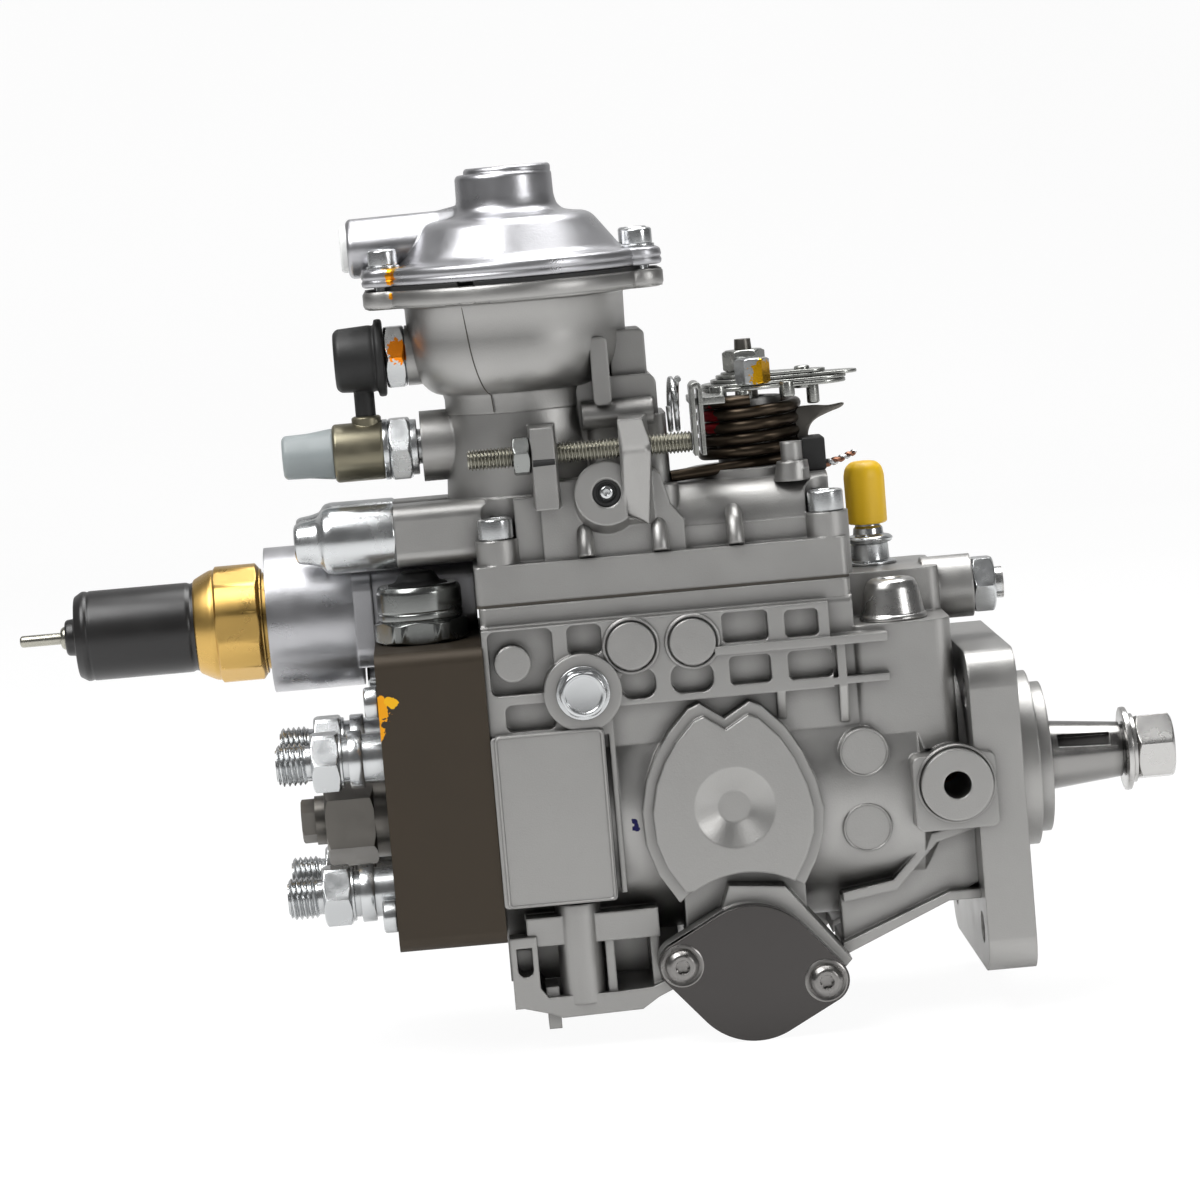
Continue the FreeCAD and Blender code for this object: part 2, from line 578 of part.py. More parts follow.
def governor_cover():
    """Governor cover with the lower half of the boost compensator cast on it."""
    base = PARTING_Z + GASKET_T
    flange = soft_block(COVER_REAR, COVER_FRONT, -COVER_HALF_W, COVER_HALF_W, base, COVER_FLANGE_TOP,
                        2.0, Vector(0, 0, 1))
    dome = soft_block(COVER_REAR + 5, DOME_STEP_X + 4, -DOME_HALF_W, DOME_HALF_W, base, ROOF_Z, 4.0,
                      Vector(0, 0, 1))
    front = COVER_FRONT - 3
    crown = DOME_HALF_W - ROOF_R
    low = [block(DOME_STEP_X, front, -DOME_HALF_W, DOME_HALF_W, base, ROOF_Z - ROOF_R),
           block(DOME_STEP_X, front, -crown, crown, base, ROOF_Z - 0.4),
           along_x(DOME_STEP_X, front, ROOF_R - 0.4, -crown, ROOF_Z - ROOF_R),
           along_x(DOME_STEP_X, front, ROOF_R - 0.4, crown, ROOF_Z - ROOF_R)]
    wall = outline_plate([(-127.0, 70.0), (-127.0, 92.5), (-94.5, 93.8), (-93.0, 92.5), (-91.0, 84.0), (-87.5, 79.5),
                          (-87.5, 70.0)], -DOME_HALF_W - 2.6, -DOME_HALF_W + 8)
    pieces = [flange, dome, wall] + low + [along_z(ROOF_Z - 4, THROTTLE_BOSS_TOP, THROTTLE_BOSS_R, THROTTLE_X, 0),
                                           along_z(ROOF_Z - 2, ROOF_Z + 2, 19.0, THROTTLE_X, 0)]
    for x, y in cover_screw_places():
        pieces.append(along_z(base, COVER_SCREW_SEAT, 6.0, x, y))
    cup = [(ROOF_Z - 8, 0), (ROOF_Z - 8, BOWL_NECK_R + 2), (BOWL_CONE_Z + 1, BOWL_NECK_R - 0.5),
           (BOWL_CONE_Z + 3.2, BOWL_NECK_R)]
    for i in range(1, 7):
        a = math.radians(90 * i / 6)
        cup.append((BOWL_WALL_Z - (BOWL_WALL_Z - BOWL_CONE_Z - 3.2) * math.cos(a),
                    BOWL_NECK_R + (BOWL_TOP_R - BOWL_NECK_R) * math.sin(a)))
    cup += [(BOWL_TOP_Z + 1, BOWL_TOP_R + 0.3), (BOWL_TOP_Z + 1, 0)]
    pieces += [revolved(cup, Vector(BOOST_X, 0, 0), Vector(0, 0, 1)),
               along_z(BOWL_TOP_Z, BOWL_TOP_Z + RIM_T, RIM_R, BOOST_X, 0)]
    pieces += [along_z(BOWL_TOP_Z - 3, BOWL_TOP_Z + RIM_T, 6.5, x, y) for x, y in boost_screw_places()]
    pieces += [along_x(-158.5, BOOST_X, 10.0, 0, 104), along_x(-160.6, BOOST_X, 8.5, 0, 130),
               soft_block(-114, -91.5, -16, 15, ROOF_Z - 2, 120.0, 3.0, Vector(0, 1, 0)),
               soft_block(-112, -89.5, -19, 12, ROOF_Z - 3, 108.5, 4.0, Vector(0, 0, 1)),
               along_x(-113, -93, 4.0, -17.5, 109.5),
               soft_block(-103.5, -93.6, -13, 11, 100, 132.4, 1.6, Vector(0, 1, 0)),
               soft_block(-109.4, -104.4, -23, -6, 112.5, 131.5, 1.6, Vector(0, 1, 0))]
    pieces += [block(-128.6, -121.1, IDLE_Y - 5, -10, ROOF_Z - 10, 108.6),
               block(-103, -95.3, IDLE_Y - 5, -10, ROOF_Z - 10, 109),
               along_y(-DOME_HALF_W - 6, -DOME_HALF_W + 4, 9.0, -108.4, 86.0),
               along_z(ROOF_Z - 2, 97, 5.0, -56, -22), along_z(96, 104, 3.5, -56, -22)]
    for y in LOAD_SCREW_YS:
        pieces.append(soft_block(-168, -140, y - 9, y + 9, LOAD_SCREW_Z - 8.5, LOAD_SCREW_Z + 8.5, 4.0,
                                 Vector(1, 0, 0)))
    for x in GUSSETS:
        pieces.append(Part.Face(Part.makePolygon([Vector(x, -COVER_HALF_W + 0.5, COVER_FLANGE_TOP - 1),
                                                  Vector(x, -DOME_HALF_W + 1, COVER_FLANGE_TOP - 1),
                                                  Vector(x, -DOME_HALF_W + 1, COVER_FLANGE_TOP + 8),
                                                  Vector(x, -COVER_HALF_W + 0.5, COVER_FLANGE_TOP - 1)])
                                ).extrude(Vector(GUSSET_T, 0, 0)))
    body = fuse(pieces)
    tools = [block(CHAMBER_REAR, CHAMBER_FRONT, -CAVITY_HALF_W, CAVITY_HALF_W, base - 1, CAVITY_TOP),
             along_z(CAVITY_TOP - 1, THROTTLE_TOP, THROTTLE_R + RUN, THROTTLE_X, 0),
             along_z(CAVITY_TOP - 1, BOWL_CONE_Z + 8, 9.0, BOOST_X, 0),
             cone_z(BOWL_CONE_Z + 6, BOWL_TOP_Z - 2, 16.0, BOWL_TOP_R - 4, BOOST_X, 0),
             along_z(BOWL_TOP_Z - 2.5, BOWL_TOP_Z + RIM_T + 1, BOWL_TOP_R - 2, BOOST_X, 0),
             block(BOOST_X, STOP_PIVOT_X + 7, -4.5, STOP_ARM_Y + 3.3, CAVITY_TOP - 1, FEELER_Z + 5),
             along_y(-9.5, 14, 2.0, STOP_PIVOT_X, STOP_PIVOT_Z),
             along_x(-160, BOOST_X - 8, 5.0, 0, 104), along_x(-162, BOOST_X - 14, 4.0, 0, 130),
             along_y(-DOME_HALF_W - 7, -DOME_HALF_W - 2, 4.0, -108.4, 86.0)]
    for y in LOAD_SCREW_YS:
        tools.append(along_x(-170, -139, SCREW_M6_R, y, LOAD_SCREW_Z))
    tools += [along_x(-130, -94, SCREW_M6_R, IDLE_Y, IDLE_Z)]
    for x, y in cover_screw_places():
        tools += [along_z(base - 1, COVER_SCREW_SEAT + 1, SCREW_M6_R, x, y),
                  along_z(COVER_SCREW_SEAT, ROOF_Z + 1, 5.6, x, y)]
    tools += [along_z(BOWL_TOP_Z - 7, BOWL_TOP_Z + RIM_T + 1, 2.5, x, y) for x, y in boost_screw_places()]
    return cut(body, tools)


def boost_screw_places():
    """Where the four screws round the boost compensator's rim sit, as (x, y)."""
    return [(BOOST_X + 38.0 * math.cos(math.radians(a)), 38.0 * math.sin(math.radians(a)))
            for a in (-20, 70, 160, 250)]


def boost_cap():
    """Upper cover of the boost compensator with its air port."""
    base = BOWL_TOP_Z + RIM_T + DIAPHRAGM_T
    profile = [(0, 0), (0, RIM_R), (RIM_T, RIM_R), (RIM_T + 0.6, RIM_R - 3), (CAP_CONE_Z - base, CAP_CONE_R),
               (CAP_KNOB_Z - base, CAP_KNOB_R + 2), (CAP_KNOB_Z - base, CAP_KNOB_R),
               (CAP_TOP_Z - 1 - base, CAP_KNOB_R), (CAP_TOP_Z - base, CAP_KNOB_R - 1), (CAP_TOP_Z - base, 0)]
    pieces = [revolved(profile, Vector(BOOST_X, 0, base), Vector(0, 0, 1))]
    pieces += [along_z(base, base + RIM_T, 6.5, x, y) for x, y in boost_screw_places()]
    pieces.append(along_x(-174.5, BOOST_X, 8.0, 0, base + 11))
    tools = [cone_z(base - 1, CAP_CONE_Z - 4, RIM_R - 5, CAP_CONE_R - 6, BOOST_X, 0),
             along_x(-175, BOOST_PORT_BACK, 4.5, 0, base + 11),
             along_x(BOOST_PORT_BACK - 1, BOOST_X - 10, 3.0, 0, base + 11),
             along_z(CAP_KNOB_Z - 5, CAP_TOP_Z + 1, 6.0, BOOST_X, 0)]
    for x, y in boost_screw_places():
        tools += [along_z(base - 1, base + RIM_T + 1, 2.5, x, y), along_z(base + RIM_T, base + RIM_T + 9, 4.9, x, y)]
    return cut(fuse(pieces), tools)


def diaphragm():
    """Rubber diaphragm clamped between the two halves of the compensator."""
    base = BOWL_TOP_Z + RIM_T
    disc = along_z(base, base + DIAPHRAGM_T, RIM_R, BOOST_X, 0)
    tools = [along_z(base - 1, base + 3, ROD_R, BOOST_X, 0)]
    tools += [along_z(base - 1, base + 3, 2.5, x, y) for x, y in boost_screw_places()]
    return cut(disc, tools)


def boost_rod():
    """Rod of the diaphragm with its two plates and the control cone."""
    base = BOWL_TOP_Z + RIM_T
    rod = along_z(96, base + DIAPHRAGM_T, ROD_R, BOOST_X, 0)
    groove = cone_z(CONE_START_Z, CONE_START_Z + CONE_LEN, ROD_R, ROD_R - CONE_DROP, BOOST_X, 0)
    waist = cut(along_z(CONE_START_Z, CONE_START_Z + CONE_LEN, ROD_R + 1, BOOST_X, 0), [groove])
    rod = rod.cut(waist)
    plates = [along_z(base - 2, base, 20.0, BOOST_X, 0), along_z(base + DIAPHRAGM_T, base + DIAPHRAGM_T + 2, 18.0,
                                                               BOOST_X, 0)]
    return group([fuse([rod, plates[0]]), plates[1]])


def boost_spring():
    """Compression spring under the diaphragm."""
    top = BOWL_TOP_Z + RIM_T - 2
    return coil(Vector(BOOST_X, 0, BOWL_CONE_Z + 8.2), Vector(0, 0, 1), top - BOWL_CONE_Z - 8.4, 12.6, 1.25, 5.0)


def cone_reach():
    """Radius of the control cone at the height of the feeler pin."""
    return ROD_R - CONE_DROP * (FEELER_Z - CONE_START_Z) / CONE_LEN


def feeler_pin():
    """Pin between the control cone and the stop lever."""
    x0 = BOOST_X + cone_reach() + 0.9
    return along_x(x0, STOP_PIVOT_X - 3.2, FEELER_R, 0, FEELER_Z)


def stop_lever():
    """Two-armed lever that limits the governor lever's travel at full load."""
    eye = along_y(-4, STOP_ARM_Y + 2.8, 4.0, STOP_PIVOT_X, STOP_PIVOT_Z)
    upper = block(STOP_PIVOT_X - 3, STOP_PIVOT_X + 0.5, -3, 3, STOP_PIVOT_Z, FEELER_Z + 3)
    lower = block(STOP_PIVOT_X - 1.5, STOP_PIVOT_X + 1.5, STOP_ARM_Y, STOP_ARM_Y + 2.8, LEVER_TOP_Z - 4,
                  STOP_PIVOT_Z)
    return cut(fuse([eye, upper, lower]), [along_y(-5, 20, 2.0 + RUN, STOP_PIVOT_X, STOP_PIVOT_Z)])


def stop_lever_pin():
    """Pin that the stop lever turns on."""
    return along_y(-9.5, 14, 2.0, STOP_PIVOT_X, STOP_PIVOT_Z)


def distributor_head():
    """Steel distributor head with its bores."""
    body = soft_block(HEAD_REAR, HOUSING_REAR, -HEAD_HALF_W, HEAD_HALF_W, HEAD_BOTTOM, HEAD_TOP, 4.0,
                      Vector(1, 0, 0))
    spigot = along_x(HOUSING_REAR - 1, HOUSING_REAR + SPIGOT_LEN, BORE_R - 0.05)
    body = fuse([body, spigot])
    front = HOUSING_REAR + SPIGOT_LEN
    groove = cut(along_x(front - 5, front - 2.5, BORE_R + 1), [along_x(front - 6, front, BORE_R - 2)])
    tools = [groove, along_x(HEAD_REAR - 1, front + 1, BARREL_BUSH_R),
             along_z(34, HEAD_TOP + 1, 8.0, SOLENOID_X, SOLENOID_Y),
             along_z(24, 35, 5.0, SOLENOID_X, SOLENOID_Y), along_z(2, 25, 2.0, SOLENOID_X, SOLENOID_Y)]
    for y, z in outlet_places():
        tools.append(along_x(HEAD_REAR - 1, HEAD_REAR + HOLDER_DEPTH, HOLDER_R, y, z))
        tools.append(along_x(HEAD_REAR, HEAD_REAR + HOLDER_DEPTH + 4, 1.5, y, z))
        reach = math.hypot(y, z)
        tools.append(Part.makeCylinder(1.2, reach, Vector(HEAD_REAR + HOLDER_DEPTH + 3, 0, 0), Vector(0, y, z)))
    for y in (-33.0, 33.0):
        for z in (-24.0, 36.0):
            tools.append(along_x(HEAD_REAR - 1, HOUSING_REAR + 1, SCREW_M6_R, y, z))
    return cut(body, tools)


def outlet_places():
    """Where the four outlets sit, as (y, z)."""
    return [(y, z) for y in (-OUTLET_OFF, OUTLET_OFF) for z in (-OUTLET_OFF, OUTLET_OFF)]


def valve_holder(y, z):
    """One delivery-valve holder: union thread outside, hexagon, valve chamber inside."""
    inner = HEAD_REAR + HOLDER_DEPTH
    hexagon = hex_bar(Vector(1, 0, 0), Vector(HOLDER_HEX_REAR, y, z), HOLDER_HEX_T, HOLDER_FLATS)
    body = fuse([along_x(HOLDER_HEX_REAR + 1, inner, HOLDER_R, y, z), hexagon,
                 along_x(OUTLET_END, HOLDER_HEX_REAR + 1, OUTLET_R, y, z)])
    chamber = along_x(HOLDER_HEX_REAR - 1, inner + 1, VALVE_R + RUN, y, z)
    seat = cone_x(OUTLET_END - 0.01, OUTLET_END + 4, 4.0, 1.5, y, z)
    return cut(body, [chamber, seat, along_x(OUTLET_END - 1, HOLDER_HEX_REAR, 1.5, y, z)])


def valve_holders():
    """The four delivery-valve holders."""
    return group([valve_holder(y, z) for y, z in outlet_places()])


def delivery_valves():
    """The four delivery-valve pistons."""
    start = HEAD_REAR + HOLDER_DEPTH
    valves = []
    for y, z in outlet_places():
        stem = along_x(start - VALVE_LEN, start - VALVE_LEN + 4, VALVE_R, y, z)
        guide = fuse([block(start - VALVE_LEN + 3, start, y - 0.8, y + 0.8, z - 2.7, z + 2.7),
                      block(start - VALVE_LEN + 3, start, y - 2.7, y + 2.7, z - 0.8, z + 0.8)])
        valves.append(fuse([stem, guide]))
    return group(valves)


def valve_springs():
    """The four delivery-valve springs."""
    rear = HOLDER_HEX_REAR - 0.9
    front = HEAD_REAR + HOLDER_DEPTH - VALVE_LEN - 0.1
    return group([coil(Vector(rear, y, z), Vector(1, 0, 0), front - rear, 2.2, 0.45, 7.0)
                  for y, z in outlet_places()])


def centre_plug():
    """Closing plug of the head with its small vent screw and washer."""
    rear = HEAD_REAR - 18.5
    plug = fuse([along_x(HEAD_REAR - 5, BARREL_BUSH_REAR, BARREL_BUSH_R),
                 hex_bar(Vector(1, 0, 0), Vector(rear, 0, 0), 14.0, 24.0)])
    plug = plug.cut(along_x(rear - 1, BARREL_BUSH_REAR + 1, 3.0))
    screw = fuse([hex_bar(Vector(1, 0, 0), Vector(rear - 7, 0, 0), 4.5, 11.0), along_x(rear - 3, rear, 7.0),
                  along_x(rear - 3, rear + 9, 3.0)])
    return group([plug, screw])


def barrel():
    """Distributor barrel that the plunger runs in."""
    body = along_x(BARREL_BUSH_REAR, BARREL_BUSH_FRONT, BARREL_BUSH_R)
    tools = [along_x(BARREL_BUSH_REAR - 1, BARREL_BUSH_FRONT + 1, PLUNGER_R + RUN)]
    for y, z in outlet_places():
        tools.append(Part.makeCylinder(1.2, 14, Vector(HEAD_REAR + HOLDER_DEPTH + 3, 0, 0), Vector(0, y, z)))
    return cut(body, tools)


def plunger():
    """Distributor plunger with its bore, spill ports and distributor slot."""
    body = along_x(PLUNGER_REAR, CAM_REAR, PLUNGER_R)
    slot = block(PLUNGER_REAR + 1.5, PLUNGER_REAR + 8, -1.5, 1.5, PLUNGER_R - 1.2, PLUNGER_R + 1)
    tools = [along_x(PLUNGER_REAR - 1, COLLAR_X + 3, 1.5), along_z(-8, 8, 1.5, COLLAR_X, 0), slot]
    for i in range(LOBES):
        tools.append(turned(block(PLUNGER_REAR - 1, PLUNGER_REAR + 5, -1, 1, PLUNGER_R - 1, PLUNGER_R + 1),
                            45 + 90 * i))
    return cut(body, tools)


def spill_collar():
    """Control collar on the plunger, moved by the governor lever's ball."""
    body = along_x(COLLAR_X - SPILL_LEN / 2, COLLAR_X + SPILL_LEN / 2, SPILL_R)
    hole = along_z(BALL_Z - BALL_R - 1.2, SPILL_R + 1, BALL_R + 0.15, COLLAR_X, 0)
    return cut(body, [along_x(COLLAR_X - 10, COLLAR_X + 10, PLUNGER_R + RUN), hole])


def plunger_springs():
    """Two plunger springs and the yoke that they press on."""
    yoke_rear = CAM_REAR - GAP - 3.0
    front = HOUSING_REAR + SPIGOT_LEN
    yoke = cut(soft_block(yoke_rear, CAM_REAR - GAP, -28, 28, -8, 8, 4.0, Vector(1, 0, 0)),
               [along_x(yoke_rear - 1, CAM_REAR, PLUNGER_R + 1.0)])
    coils = [coil(Vector(front + 0.1, y, 0), Vector(1, 0, 0), yoke_rear - front - 0.2, 5.5, 1.1, 6.0)
             for y in (-21.0, 21.0)]
    return group([yoke] + coils)


def drive_shaft():
    """Drive shaft: coupling flange with two claws, journal, taper with keyway, thread."""
    taper_end_r = SHAFT_R - (TAPER_END - TAPER_START) / TAPER_RATIO / 2.0
    flange_rear = COUPLING_FRONT - COUPLING_T
    pieces = [along_x(flange_rear, COUPLING_FRONT, COUPLING_R), along_x(COUPLING_FRONT - 1, TAPER_START, SHAFT_R),
              cone_x(TAPER_START, TAPER_END, SHAFT_R, taper_end_r), along_x(TAPER_END - 1, NUT_END - 1, THREAD_R)]
    claw_rear = DISC_FRONT - DISC_T
    for side in (0, 180):
        claw = block(claw_rear, flange_rear + 1, -CLAW_W / 2, CLAW_W / 2, CLAW_IN, COUPLING_R)
        pieces.append(turned(claw.common(along_x(claw_rear, flange_rear + 1, COUPLING_R)), side))
    keyway = block(TAPER_START + 3, TAPER_END - 3.5, -12, -SHAFT_R + 3.3, -KEYWAY_W / 2, KEYWAY_W / 2)
    return cut(fuse(pieces), [turned(keyway, -32)])


def shaft_nut():
    """Shaft nut and its spring washer."""
    nut = cut(fuse([hex_bar(Vector(1, 0, 0), Vector(NUT_START, 0, 0), NUT_END - NUT_START, NUT_FLATS)]),
              [along_x(NUT_START - 1, NUT_END + 1, THREAD_R)])
    washer = cut(along_x(TAPER_END + 0.6, NUT_START, 12.0), [along_x(TAPER_END, NUT_START + 1, THREAD_R)])
    return group([nut, washer])


def shaft_bush():
    """Plain bush that carries the drive shaft."""
    front = BORE_FRONT + BUSH_LEN
    return cut(along_x(BORE_FRONT, front, BUSH_R), [along_x(BORE_FRONT - 1, front + 1, SHAFT_R + RUN),
                                                    along_y(-BUSH_R - 1, 0, LOCK_RELIEF_R, LOCK_X, LOCK_Z)])


def drive_gear():
    """Gear on the drive shaft that turns the governor."""
    return gear_blank(DRIVE_TEETH, GEAR_FRONT, GEAR_T, 0.0, 90.0).cut(
        along_x(GEAR_FRONT - GEAR_T - 1, GEAR_FRONT + 1, SHAFT_R))


def supply_ring():
    """Eccentric ring and end plate of the vane supply pump."""
    rear = ROTOR_FRONT - ROTOR_T
    ring = cut(along_x(rear, BORE_FRONT, BORE_R),
               [along_x(rear - 1, BORE_FRONT + 1, ROTOR_R + ECCENTRICITY + GAP, 0, ECCENTRICITY)])
    plate = cut(along_x(rear - 0.1 - PLATE_T, rear, BORE_R),
                [along_x(rear - 5, rear + 1, SHAFT_R + 0.5)])
    return group([ring, plate])


def pump_rotor():
    """Rotor of the supply pump with its four vanes."""
    rear = ROTOR_FRONT - ROTOR_T + 0.1
    front = ROTOR_FRONT - 0.1
    body = cut(along_x(rear, front, ROTOR_R), [along_x(rear - 1, front + 1, SHAFT_R)])
    bounds = along_x(rear, front, ROTOR_R)
    slots = [turned(block(rear - 1, front + 1, -VANE_T / 2, VANE_T / 2, ROTOR_R - VANE_LEN - 1, ROTOR_R + 1),
                    45 + 90 * i) for i in range(4)]
    vanes = [turned(block(rear, front, -VANE_T / 2, VANE_T / 2, ROTOR_R - VANE_LEN, ROTOR_R + 1),
                    45 + 90 * i).common(bounds) for i in range(4)]
    return group([cut(body, slots)] + vanes)


def cross_disc():
    """Cross disc of the coupling between the shaft and the cam plate."""
    rear = DISC_FRONT - DISC_T
    body = along_x(rear, DISC_FRONT, COUPLING_R)
    half = CLAW_W / 2 + 0.2
    tools = [along_x(rear - 1, DISC_FRONT + 1, 4.0)]
    for angle in range(0, 360, 90):
        tools.append(turned(block(rear - 1, DISC_FRONT + 1, -half, half, CLAW_IN - 0.2, COUPLING_R + 1), angle))
    return cut(body, tools)


def cam_plate():
    """Cam plate with four lobes on its working face and two claws."""
    front = CAM_REAR + CAM_T
    crest = roller_x() - ROLLER_R - RUN
    height = crest - front
    arc_r = (LOBE_HALF_W ** 2 + height ** 2) / (2.0 * height)
    annulus = cut(along_x(front - 0.5, crest + 1, CAM_R), [along_x(front - 1, crest + 2, ROLLER_IN - 1.5)])
    pieces = [along_x(CAM_REAR, front, CAM_R), along_x(front - 1, front + 2, 12.0)]
    for i in range(LOBES):
        saddle = Part.makeCylinder(arc_r, CAM_R, Vector(crest - arc_r, 0, 10), Vector(0, 0, 1))
        saddle = saddle.common(block(front - 0.5, crest + 1, -LOBE_HALF_W, LOBE_HALF_W, 10, 10 + CAM_R))
        pieces.append(turned(saddle, 45 + 90 * i).common(annulus))
    for side in (90, 270):
        claw = block(front - 1, DISC_FRONT, -CLAW_W / 2, CLAW_W / 2, CLAW_IN, COUPLING_R)
        pieces.append(turned(claw.common(along_x(front - 1, DISC_FRONT, COUPLING_R)), side))
    return fuse(pieces)


def roller_x():
    """Place of the roller axes along the shaft."""
    return CAM_REAR + CAM_T + LOBE_H + RUN + ROLLER_R


def roller_ring():
    """Roller ring with its roller pins and the timing pin."""
    rear = roller_x() - RING_FACE
    front = rear + RING_T
    body = cut(along_x(rear, front, BORE_R - RUN), [along_x(rear - 1, front + 1, RING_IN_R)])
    tools = [block(rear - 1, front + 1, -40, 40, RING_RELIEF_Z, 40)]
    pins = []
    for i in range(LOBES):
        angle = 45 + 90 * i
        tools.append(turned(Part.makeCylinder(ROLLER_R + 0.15, ROLLER_OUT + 0.2, Vector(roller_x(), 0, 0),
                                              Vector(0, 0, 1)), angle))
        bore = Part.makeCylinder(ROLLER_PIN_R, BORE_R - 1.0, Vector(roller_x(), 0, 0), Vector(0, 0, 1))
        tools.append(turned(bore, angle))
        pins.append(turned(Part.makeCylinder(ROLLER_PIN_R, BORE_R - 1.0 - ROLLER_IN,
                                             Vector(roller_x(), 0, ROLLER_IN), Vector(0, 0, 1)), angle))
    tools.append(along_z(-BORE_R - 1, -RING_IN_R - 3, TIMING_PIN_R, TIMING_X, 0))
    pin = along_z(TIMING_Z - BLOCK_R + 0.7, -RING_IN_R - 3, TIMING_PIN_R, TIMING_X, 0)
    return group([cut(body, tools)] + pins + [pin])


def roller(i):
    """One roller of the ring; its axis is radial."""
    angle = 45 + 90 * i
    body = Part.makeCylinder(ROLLER_R, ROLLER_OUT - ROLLER_IN, Vector(roller_x(), 0, ROLLER_IN), Vector(0, 0, 1))
    bore = Part.makeCylinder(ROLLER_PIN_R + RUN, ROLLER_OUT, Vector(roller_x(), 0, ROLLER_IN - 1), Vector(0, 0, 1))
    return turned(body.cut(bore), angle)


def timing_piston():
    """Piston of the timing device with its cross hole and pin slot."""
    body = along_y(-PISTON_HALF, PISTON_HALF, PISTON_R, TIMING_X, TIMING_Z)
    cross = along_x(TIMING_X - 20, TIMING_X + 20, BLOCK_R + RUN, 0, TIMING_Z)
    slot = block(TIMING_X - TIMING_PIN_R - 0.4, TIMING_X + TIMING_PIN_R + 0.4, -6.2, 6.2, TIMING_Z, TIMING_Z + 20)
    spring_seat = along_y(PISTON_HALF - 6, PISTON_HALF + 1, 8.0, TIMING_X, TIMING_Z)
    return cut(body, [cross, slot, spring_seat])


def slide_block():
    """Sliding block that joins the timing pin to the piston."""
    body = along_x(TIMING_X - BLOCK_HALF, TIMING_X + BLOCK_HALF, BLOCK_R, 0, TIMING_Z)
    return cut(body, [along_z(TIMING_Z - 10, TIMING_Z + 10, TIMING_PIN_R + 0.15, TIMING_X, 0)])


def timing_spring():
    """Return spring of the timing piston."""
    start = PISTON_HALF - 5.9
    return coil(Vector(TIMING_X, start, TIMING_Z), Vector(0, 1, 0), TIMING_END_Y - start - 0.1, 6.3, 1.3, 5.0)


def timing_covers():
    """The two rhombic cover plates of the timing device."""
    covers = []
    for side in (-1, 1):
        near = side * TIMING_END_Y
        far = side * (TIMING_END_Y + COVER_PLATE_T)
        plate = diamond(min(near, far), max(near, far), COVER_SCREW_OFF, 6.5, PISTON_R + TIMING_WALL + 1.5,
                        TIMING_X, TIMING_Z, PLATE_TURN)
        holes = [along_y(min(near, far) - 1, max(near, far) + 1, 2.5, x, z) for x, z in timing_screw_places()]
        covers.append(cut(plate, holes))
    return group(covers)


def governor_shaft():
    """Fixed shaft that the governor turns and slides on."""
    return along_x(GOV_SHAFT_REAR, 3.0, GOV_SHAFT_R, 0, GOV_Z)


def ring_places(count):
    """Turn angles of the flyweights about the governor shaft."""
    return [45 + 360.0 * i / count for i in range(count)]


def governor_gear():
    """Governor gear with the flyweight cage on it."""
    centre = Vector(0, 0, GOV_Z)
    phase = -90.0 + 180.0 / GOVERNOR_TEETH
    base_rear = GEAR_FRONT - GEAR_T - 2.0
    pieces = [gear_blank(GOVERNOR_TEETH, GEAR_FRONT, GEAR_T, GOV_Z, phase),
              along_x(base_rear, GEAR_FRONT - GEAR_T + 0.5, 18.5, 0, GOV_Z)]
    inner = WEIGHT_W / 2 + 0.2
    for angle in ring_places(WEIGHTS):
        for side in (-1, 1):
            y0 = min(side * inner, side * (inner + 2.0))
            ear = block(WEIGHT_PIVOT_X - 3, base_rear + 0.5, y0, y0 + 2.0, GOV_Z + 12, GOV_Z + 18)
            pieces.append(turned(ear, angle, centre))
    tools = [along_x(-80, -40, GOV_SHAFT_R + RUN, 0, GOV_Z)]
    for angle in ring_places(WEIGHTS):
        tools.append(turned(along_y(-9, 9, TRUNNION_R + 0.08, WEIGHT_PIVOT_X, GOV_Z + WEIGHT_PIVOT_R), angle,
                            centre))
    return cut(fuse(pieces), tools)


def flyweight(i):
    """One flyweight with its trunnions and toe."""
    half = WEIGHT_W / 2
    pivot_z = GOV_Z + WEIGHT_PIVOT_R
    mass = block(-82, -66.2, -half, half, GOV_Z + 9.5, GOV_Z + 16)
    eye = along_y(-half, half, 2.8, WEIGHT_PIVOT_X, pivot_z)
    arm = block(-67, WEIGHT_PIVOT_X, -half, half, GOV_Z + 12.4, GOV_Z + 16)
    toe = block(-66.9, WEIGHT_PIVOT_X, -half + 2, half - 2, GOV_Z + 6, GOV_Z + 14)
    pin = along_y(-half - 2.0, half + 2.0, TRUNNION_R, WEIGHT_PIVOT_X, pivot_z)
    return turned(fuse([mass, eye, arm, toe, pin]), ring_places(WEIGHTS)[i], Vector(0, 0, GOV_Z))


def governor_sleeve():
    """Sliding sleeve pushed along the governor shaft by the flyweights."""
    tip = SLEEVE_TIP
    profile = [(0, 0), (0.5, 1.7), (1.5, SLEEVE_TIP_R), (4.0, SLEEVE_TIP_R + 1.0), (7.0, SLEEVE_R - 2.5),
               (SLEEVE_FRONT - tip - 3.0, SLEEVE_R - 2.5), (SLEEVE_FRONT - tip - 3.0, SLEEVE_R),
               (SLEEVE_FRONT - tip, SLEEVE_R), (SLEEVE_FRONT - tip, 0)]
    body = revolved(profile, Vector(tip, 0, GOV_Z), Vector(1, 0, 0))
    return body.cut(along_x(GOV_SHAFT_REAR - 3, SLEEVE_FRONT + 1, GOV_SHAFT_R + RUN, 0, GOV_Z))


